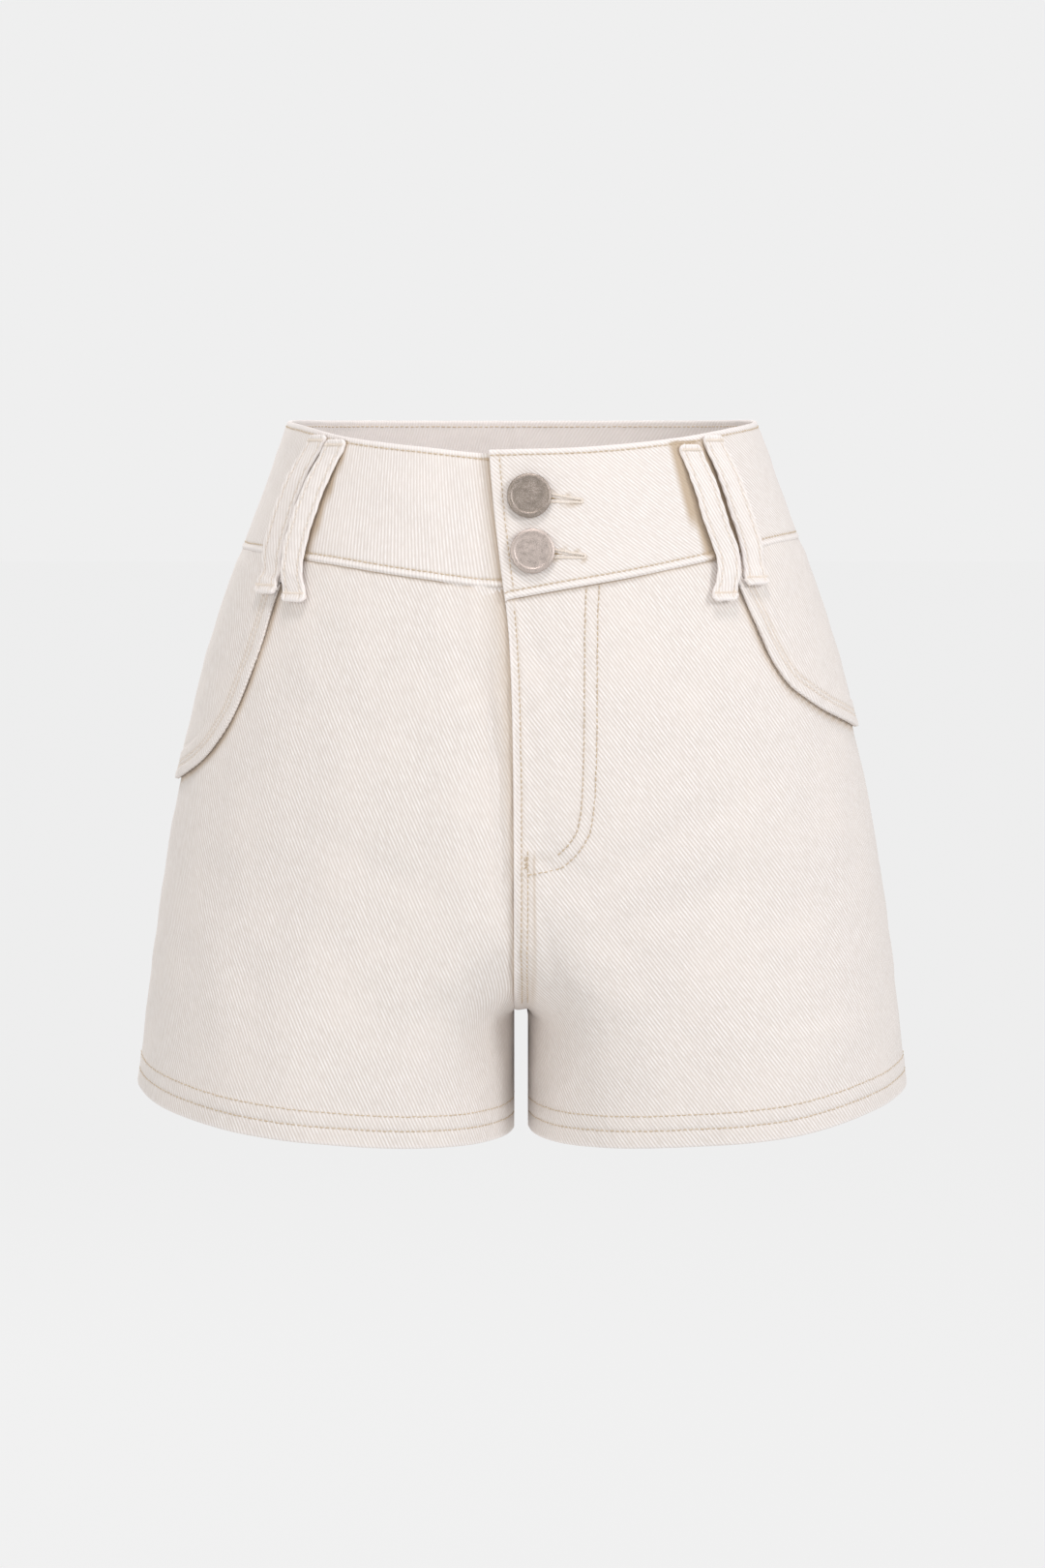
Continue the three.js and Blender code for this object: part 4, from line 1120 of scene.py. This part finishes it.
def fly_rows(long):
    """The two curved rows, the straight rows and the bar tack of the fly, all on the right front."""
    def on_front(x, z, proud=0.05):
        return on_panel(RIGHT, False, around_at(RIGHT, x, z), z, proud)

    rows = numbered(**FLY_CURVE)
    n = np.linspace(0, rows["n"][-1], 300)
    x, z = curve(rows, "n", "x", n), curve(rows, "n", "z", n)
    x2, z2 = beside_line(x, z, -FLY_ROW_GAP)
    made = []
    for a, b, keep in ((x, z, z < -79), (x2, z2, (z2 < -81) & (x2 > 17))):
        made.append(sewn_row(*on_front(a[keep], b[keep], 0.32), long))
    for away, top in ((FLY_EDGE_ROW, -92), (FORK_SEAM_ROW, -210)):
        z = np.linspace(top, FORK_Z + 9, 160)
        made.append(sewn_row(*on_front(curve(FLY_EDGE, "z", "x", z) + away, z), long))
    count = 11
    z = np.linspace(-213.5, -219.5, count)
    points, facing = on_front(1.8 + 0.5 * np.sin(2 * np.arange(count)), z, 0.1)
    made.append(bars(points, facing, np.tile([[1.0, 0, 0.35]], (count, 1)), 2.2, 0.42))
    return made


def back_seam_rows(long):
    """The two rows of the felled back seam."""
    z = np.linspace(-70, FORK_Z + 9, 220)
    return [
        sewn_row(*on_panel(RIGHT, True, around_at(RIGHT, BACK_SEAM_X + away, z, True), z), long) for away in BACK_ROWS
    ]


def band_rows(long):
    """Rows along the band's bottom and top and down its right end, and the long rows' other face inside."""
    turn = np.linspace(0.03, 3.985, 1400)
    tall = band_levels(turn, np.ones(turn.shape))[0]
    heights = (BAND_LOW_ROW / tall, 1 - BAND_TOP_ROW / tall)
    rows = [sewn_row(*on_band(turn, height), long) for height in heights]
    up = np.linspace(0.075, 0.945, 90)
    at = np.full(up.shape, 3.9)
    for _ in range(4):
        z = band_place(at, up)[2]
        at = 4 - around_at(RIGHT, curve(FLY_EDGE, "z", "x", z) + BAND_END_ROW, z)
    rows.append(sewn_row(*on_band(at, up), long))
    for height in heights:
        side, around, z, middle = band_place(turn, height)
        inside = skin(side, around, z, middle - BAND_THICK / 2 - 0.05)
        rows.append(sewn_row(inside, -outward(side, around, z), long))
    return rows


def line_in_grid(points, levels, level):
    """Where a value crosses a level in each column of a grid of points, nearest to the last row."""
    line = []
    for place, value in zip(points.swapaxes(0, 1), levels.T):
        above = np.nonzero(value > level)[0]
        if len(above):
            a = above[-1]
            line.append(mix(place[a], place[a + 1], (value[a] - level) / (value[a] - value[a + 1])))
    return np.array(line)


def flap_rows(outer, long):
    """The two rows beside a flap's edge, from its outer points."""
    edge = from_line(outer, outer[-1])
    lines = [line_in_grid(outer, edge, level) for level in FLAP_ROWS]
    return [sewn_row(line, line * (1, 1, 0), long) for line in lines]


def loop_rows(loop, long):
    """Two rows along a loop and a bar tack at each end."""
    rows = []
    along = np.linspace(0.05, 0.945, 120)
    for across in (-LOOP_ROW, LOOP_ROW):
        w = np.full(along.shape, across)
        middle, face = loop_place(loop, along, w)
        rows.append(sewn_row(middle + face * loop_half(along, w)[:, None], face, long * 0.92, sway=0.08))
    for end in LOOP_TACKS:
        w = np.linspace(-0.86, 0.86, 23)
        at = np.full(w.shape, end)
        middle, face = loop_place(loop, at, w)
        down = unit(loop_place(loop, at + 0.01, w)[0] - middle)
        zigzag = np.where(np.arange(len(w)) % 2, 0.25, -0.25)[:, None]
        run = down + np.cross(face, down) * zigzag
        rows.append(bars(middle + face * (loop_half(at, w) + 0.12)[:, None], face, run, 2.2, 0.52))
    return rows


def loop_frays(loop):
    """Loose yarn ends at a loop's lower and upper end, where it is cut raw, and at its sides near the lower end."""
    rows = []
    for end, count, at_sides in ((0.997, 40, False), (0.003, 12, False), (0.965, 14, True)):
        w = rng.uniform(-1, 1, count)
        w = np.sign(w) if at_sides else w
        at = end + rng.uniform(-0.006, 0.006, count)
        middle, face = loop_place(loop, np.clip(at, 0, 1), w)
        ahead = loop_place(loop, np.clip(at, 0, 0.98) + 0.01, w)[0]
        down = unit(ahead - middle) * (1 if end > 0.5 else -1)
        run = down * rng.uniform(0.1, 1, (count, 1)) + np.cross(face, down) * rng.uniform(-1, 1, (count, 1))
        run += face * rng.uniform(-0.2, 0.5, (count, 1))
        lift = loop_half(np.clip(at, 0, 1), w * 0.9) * rng.uniform(-0.8, 0.8, count)
        rows.append(bars(middle + face * lift[:, None], face, run, 1.9, 0.26))
    return rows


def on_band_front(x, z, proud):
    """Points on the band's right end at a place in front view."""
    around = around_at(RIGHT, x, z)
    low, high = edge_z("seam", RIGHT, around), edge_z("waist", RIGHT, around)
    return on_band(4 - around, (z - low) / (high - low), proud)


def buttonhole(x, z):
    """Bars round a buttonhole's slit, which runs to the right from the button's middle, and a dark sheet as painted
    shadow in the slit.
    """
    start, end, count = x + HOLE_START, x + HOLE_END, 38
    line_x = np.linspace(start, end, count)
    line_z = z - (line_x - x) * BUTTONHOLE_LEAN
    apart = np.linspace(2.1, 0.7, count)
    rows = []
    for above in (1, -1):
        height = line_z + above * apart + rng.uniform(-0.16, 0.16, count)
        points, facing = on_band_front(line_x, height, 0.3)
        run = np.tile([[0.25, 0, float(above)]], (count, 1)) + rng.uniform(-0.2, 0.2, (count, 3))
        rows.append(bars(points, facing, run, 1.5, 0.55))
    angle = np.linspace(-1.2, 1.2, 6)
    points, facing = on_band_front(end + 0.6 * np.cos(angle), line_z[-1] + 0.8 * np.sin(angle), 0.16)
    rows.append(bars(points, facing, np.stack([np.cos(angle), 0 * angle, np.sin(angle)], -1), 1.5, 0.46))
    # The slit itself is a thin dark sheet: painted shadow in the opening
    s = np.linspace(0, 1, 31)
    half = mix(0.95, 0.1, ease(0.05, 0.45, s)) * np.sqrt(np.clip((1 - s) * 12, 0, 1)) * (1 + 0.2 * np.sin(s * 50))
    at = mix(start - 1.5, end, s)
    level = z - (at - x) * BUTTONHOLE_LEAN
    slit = [
        np.array([on_band_front(at, level + w * half, proud - 0.1 * abs(w))[0] for w in (-1, -0.4, 0.4, 1)])
        for proud in (0.12, -0.3)
    ]
    return rows, slit


# Sizes and colours that a user would change


def colour_choice(name, description, colour):
    """A colour that a user can change, from its sRGB hex value."""
    return bpy.props.FloatVectorProperty(
        name=name, description=description, default=linear(colour), size=4, min=0, max=1, subtype="COLOR")


class ShortsLook(bpy.types.PropertyGroup):
    cloth: colour_choice("Cloth", "Colour of the twill's ribs", "#F2EDEA")
    cloth_shade: colour_choice("Cloth between ribs", "Colour between the twill's ribs", "#D2C8C0")
    cloth_warm: colour_choice("Cloth, warmer patches", "Colour of the cloth's warmer patches", "#EAE1DA")
    # The next two colours paint light on the cloth: the first is the pale of wear on edges with painted highlight, the
    # second is painted shade in seams, sewn rows and under edges
    cloth_pale_wear_and_highlight: colour_choice("Pale cloth, wear and highlight", "Colour of edges pale with wear and painted highlight", "#F7F1EF")
    cloth_painted_shade: colour_choice("Painted shade on the cloth", "Colour of shade painted in seams and under edges", "#B9A48A")
    thread: colour_choice("Thread", "Colour of the beige thread", "#DDCDB8")
    thread_shade: colour_choice("Thread, darker", "Darker colour of the beige thread", "#BBA789")
    thread_pale: colour_choice("Pale thread", "Colour of the cream thread", "#F3EBE3")
    thread_pale_shade: colour_choice("Pale thread, darker", "Darker colour of the cream thread", "#DFD1C2")
    # Colour of the painted shadow in the buttonhole slits
    slit_shade: colour_choice("Buttonhole slit", "Colour inside the buttonholes", "#7E6A50")
    metal: colour_choice("Metal", "Colour of the buttons", "#CDC0B9")
    metal_shade: colour_choice("Metal, darker", "Darker colour of the buttons", "#978C82")
    backdrop: colour_choice("Backdrop", "Colour of floor and backdrop", "#EFEFEF")
    backdrop_dark: colour_choice("Backdrop, unlit", "Colour of the floor's paper itself", "#3C3C3C")
    backdrop_glow: bpy.props.FloatProperty(
        name="Backdrop glow", description="Light given off by the paper", default=0.955, min=0, max=1, subtype="FACTOR")
    rib_pitch: bpy.props.FloatProperty(
        name="Rib spacing", description="Distance between the twill's ribs", default=0.00165, min=0.0004, max=0.004,
        subtype="DISTANCE", unit="LENGTH")
    stitch_long: bpy.props.FloatProperty(
        name="Stitch length", description="Length of one stitch", default=0.0024, min=0.001, max=0.006,
        subtype="DISTANCE", unit="LENGTH")
    button_wide: bpy.props.FloatProperty(
        name="Button width", description="Width of a button's cap", default=0.022, min=0.012, max=0.03,
        subtype="DISTANCE", unit="LENGTH")


def chosen():
    """The sizes and colours chosen in the scene."""
    return bpy.context.scene.shorts_look


def stitch_mm():
    """The length of a stitch in millimetres."""
    return chosen().stitch_long * 1000


class SHORTS_OT_panels(bpy.types.Operator):
    """Makes the two fronts and the two backs"""

    bl_idname = "shorts.panels"
    bl_label = "Fronts and backs"

    def execute(self, context):
        for name, side, back, grain in (
            ("front_left", LEFT, False, 66), ("front_right", RIGHT, False, 52),
            ("back_left", LEFT, True, 58), ("back_right", RIGHT, True, 62),
        ):
            wall = panel_shell(side, back)
            turned, facing = (side == LEFT) != back, -1 if back else 1
            piece = cloth_piece(name + "_cloth", wall, grain, turned, facing)
            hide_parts(name)
        return {"FINISHED"}


class SHORTS_OT_waistband(bpy.types.Operator):
    """Makes the waistband, whose right end laps over the left one"""

    bl_idname = "shorts.waistband"
    bl_label = "Waistband"

    def execute(self, context):
        wall = band_shell()
        # The band's inside is painted paler: painted light in place of the light that reaches it
        piece = cloth_piece("waistband_cloth", wall, wall[3], turned=True, even=True, inner_shade=0.7)
        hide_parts("waistband")
        return {"FINISHED"}


class SHORTS_OT_fly_strip(bpy.types.Operator):
    """Makes the strip of cloth behind the fly"""

    bl_idname = "shorts.fly_strip"
    bl_label = "Strip behind the fly"

    def execute(self, context):
        piece = cloth_piece("fly_strip_cloth", strip_shell(), 62)
        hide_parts("fly_underlap")
        return {"FINISHED"}


class SHORTS_OT_hip_flaps(bpy.types.Operator):
    """Makes the rounded flaps over the side seams and sews their edges"""

    bl_idname = "shorts.hip_flaps"
    bl_label = "Hip flaps"

    def execute(self, context):
        rows = []
        for name, side, flat, area in (
            ("hip_flap_left", LEFT, (0.19, 0.122), 0.0203), ("hip_flap_right", RIGHT, (0.205, 0.10), 0.0189),
        ):
            wall = flap_shell(side)
            piece = cloth_piece(name + "_cloth", wall, 60, turned=side == LEFT)
            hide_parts(name)
            rows += flap_rows(wall[0], stitch_mm())
        thread_mesh("hip_flap_sewing", rows, finish_of("cream topstitching thread"))
        return {"FINISHED"}


class SHORTS_OT_belt_loops(bpy.types.Operator):
    """Makes the belt loops with their sewn rows, bar tacks and frayed ends"""

    bl_idname = "shorts.belt_loops"
    bl_label = "Belt loops"

    def execute(self, context):
        rows, frays = [], []
        for loop in LOOPS:
            piece = cloth_piece(loop.name + "_cloth", loop_shell(loop), 74, turned=loop.side == LEFT)
            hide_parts(loop.name)
            rows += loop_rows(loop, stitch_mm())
            frays += loop_frays(loop)
        thread_mesh("belt_loop_sewing", rows, finish_of("cream topstitching thread"))
        thread_mesh("belt_loop_frays", frays, finish_of("frayed cotton yarn"), sides=5)
        return {"FINISHED"}


class SHORTS_OT_sewing(bpy.types.Operator):
    """Sews the hems, the fly, the back seam and the band"""

    bl_idname = "shorts.sewing"
    bl_label = "Sewing"

    def execute(self, context):
        long, thread = stitch_mm(), finish_of("beige topstitching thread")
        hems = [row for side in (LEFT, RIGHT) for back in (False, True) for row in hem_rows(side, back, long)]
        thread_mesh("hem_sewing", hems, thread)
        thread_mesh("fly_sewing", fly_rows(long), thread)
        thread_mesh("back_seam_sewing", back_seam_rows(long), thread)
        thread_mesh("waistband_sewing", band_rows(long), thread)
        return {"FINISHED"}


class SHORTS_OT_buttonholes(bpy.types.Operator):
    """Makes the sewn buttonholes in the band's right end"""

    bl_idname = "shorts.buttonholes"
    bl_label = "Buttonholes"

    def execute(self, context):
        rows = []
        for name, x, z in BUTTONS:
            more, slit = buttonhole(x, z)
            rows += more
            wall_piece(name.replace("button", "buttonhole") + "_slit_shadow", *slit, finish_of("buttonhole painted shadow"))
        thread_mesh("buttonhole_sewing", rows, finish_of("cream topstitching thread"))
        return {"FINISHED"}


def select_faces(piece, up):
    """Selects the faces that look straight up (1) or down (-1), with the piece in edit mode afterwards."""
    bpy.ops.object.mode_set(mode="OBJECT")
    for part in (piece.data.vertices, piece.data.edges, piece.data.polygons):
        part.foreach_set("select", np.zeros(len(part), bool))
    for face in piece.data.polygons:
        face.select = face.normal.z * up > 0.9
    bpy.ops.object.mode_set(mode="EDIT")
    bpy.ops.mesh.select_mode(type="FACE")


def step_in(wide, rise):
    """Insets the selected faces and moves them."""
    bpy.ops.mesh.inset(thickness=wide)
    bpy.ops.transform.translate(value=(0, 0, rise))


class SHORTS_OT_buttons(bpy.types.Operator):
    """Makes the two metal buttons: a flat cap with a raised rim, on a short shank"""

    bl_idname = "shorts.buttons"
    bl_label = "Buttons"

    def execute(self, context):
        radius = chosen().button_wide / 2
        for name, x, z in BUTTONS:
            bpy.ops.object.select_all(action="DESELECT")
            bpy.ops.mesh.primitive_cylinder_add(vertices=96, radius=radius, depth=CAP_THICK, location=(0, 0, 0))
            piece = bpy.context.object
            piece.name = piece.data.name = name + "_metal"
            select_faces(piece, 1)
            for wide, rise in CAP_STEPS:
                step_in(wide, rise)
            select_faces(piece, -1)
            step_in(LIP_WIDE, -LIP_TALL)
            bpy.ops.mesh.inset(thickness=radius - LIP_WIDE - SHANK_RADIUS)
            bpy.ops.mesh.extrude_region_move(TRANSFORM_OT_translate={"value": (0, 0, -SHANK_LONG)})
            bpy.ops.object.mode_set(mode="OBJECT")
            bevel = piece.modifiers.new("Soft edges", "BEVEL")
            bevel.width, bevel.segments, bevel.limit_method = EDGE_SOFT, 3, "ANGLE"
            bevel.angle_limit = math.radians(24)
            bpy.ops.object.modifier_apply(modifier=bevel.name)
            bpy.ops.object.shade_smooth_by_angle(angle=math.radians(40))
            around = around_at(RIGHT, x, z)
            facing = Vector(outward(RIGHT, around, z))
            seat = BAND_PROUD + BAND_STEP + BAND_THICK / 2 + 0.35
            place = Vector(skin(RIGHT, around, z, seat)) * 0.001 + facing * CAP_SEAT
            piece.matrix_world = Matrix.Translation(place) @ facing.to_track_quat("Z", "Y").to_matrix().to_4x4()
            bpy.ops.object.transform_apply(location=True, rotation=True, scale=True)
            piece.data.materials.clear()
            piece.data.materials.append(finish_of("aged nickel"))
            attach(piece, "root")
            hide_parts(name)
        return {"FINISHED"}


# The stage, in metres: the floor, and a camera that looks a few degrees down at the middle of the shorts. Then the
# light: how strongly the surroundings light the cloth, and lamps with place, width, power and colour
FLOOR_Z = -0.9
MIDDLE_Z = -0.187
LAMP_AIM_Z = -0.18
CAMERA_AWAY = 2.5
CAMERA_DOWN = math.radians(5)
LENS_MM, SENSOR_MM = 111.1, 36
AMBIENT = 0.74
LAMPS = [
    ("key light", (2.1, -1.8, 0.9), 0.8, 26, "#FAFBFE"),
    ("front light", (-1.5, -2.0, 0.4), 0.8, 8, "#FFFDF8"),
    ("top light", (0.0, -0.9, 1.5), 0.5, 9, "#FFFAFA"),
    ("back light", (-0.8, 2.3, 0.9), 0.8, 26, "#FFFCFA"),
]


class SHORTS_OT_stage(bpy.types.Operator):
    """Makes the pale floor, the light and the camera"""

    bl_idname = "shorts.stage"
    bl_label = "Stage"

    def execute(self, context):
        scene = context.scene
        bpy.ops.object.select_all(action="DESELECT")
        bpy.ops.mesh.primitive_plane_add(size=40, location=(0, 0, FLOOR_Z))
        floor = bpy.context.object
        floor.name = "floor"
        floor.data.materials.append(finish_of("pale grey paper"))

        world = bpy.data.worlds.new("studio")
        world.use_nodes = True
        sky = world.node_tree.nodes["Background"]
        sky.inputs["Color"].default_value = chosen().backdrop
        seen = add_node(world.node_tree, "ShaderNodeLightPath", output="Is Camera Ray")
        fill(world.node_tree, sky, {"Strength": remap(world.node_tree, seen, 0, 1, AMBIENT, 1)})
        scene.world = world
        for name, place, size, power, colour in LAMPS:
            lamp = bpy.data.lights.new(name, "AREA")
            lamp.shape, lamp.size, lamp.energy, lamp.color = "DISK", size, power, linear(colour)[:3]
            stand = bpy.data.objects.new(name, lamp)
            stand.location = place
            towards = Vector((0, 0, LAMP_AIM_Z)) - Vector(place)
            stand.rotation_euler = towards.to_track_quat("-Z", "Y").to_euler()
            scene.collection.objects.link(stand)

        camera = bpy.data.objects.new("camera", bpy.data.cameras.new("camera"))
        camera.data.lens, camera.data.sensor_width = LENS_MM, SENSOR_MM
        camera.location = (
            0, -CAMERA_AWAY * math.cos(CAMERA_DOWN), MIDDLE_Z + CAMERA_AWAY * math.sin(CAMERA_DOWN))
        camera.rotation_euler = (math.radians(90) - CAMERA_DOWN, 0, 0)
        scene.collection.objects.link(camera)
        scene.camera = camera
        scene.view_settings.view_transform = "Standard"
        return {"FINISHED"}


class SHORTS_PT_panel(bpy.types.Panel):
    bl_label = "Denim shorts"
    bl_idname = "SHORTS_PT_panel"
    bl_space_type = "VIEW_3D"
    bl_region_type = "UI"
    bl_category = "Shorts"

    def draw(self, context):
        for name in ShortsLook.__annotations__:
            self.layout.prop(context.scene.shorts_look, name)
        for operator in OPERATORS:
            self.layout.operator(operator.bl_idname)


OPERATORS = (
    SHORTS_OT_waistband,
    SHORTS_OT_panels,
    SHORTS_OT_fly_strip,
    SHORTS_OT_hip_flaps,
    SHORTS_OT_belt_loops,
    SHORTS_OT_sewing,
    SHORTS_OT_buttonholes,
    SHORTS_OT_buttons,
    SHORTS_OT_stage,
)
CLASSES = (ShortsLook, *OPERATORS, SHORTS_PT_panel)


def register():
    for cls in CLASSES:
        bpy.utils.register_class(cls)
    bpy.types.Scene.shorts_look = bpy.props.PointerProperty(type=ShortsLook)


def unregister():
    del bpy.types.Scene.shorts_look
    for cls in reversed(CLASSES):
        bpy.utils.unregister_class(cls)


def main():
    register()
    for operator in OPERATORS:
        group, name = operator.bl_idname.split(".")
        getattr(getattr(bpy.ops, group), name)()
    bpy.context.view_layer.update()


if __name__ == "__main__":
    main()
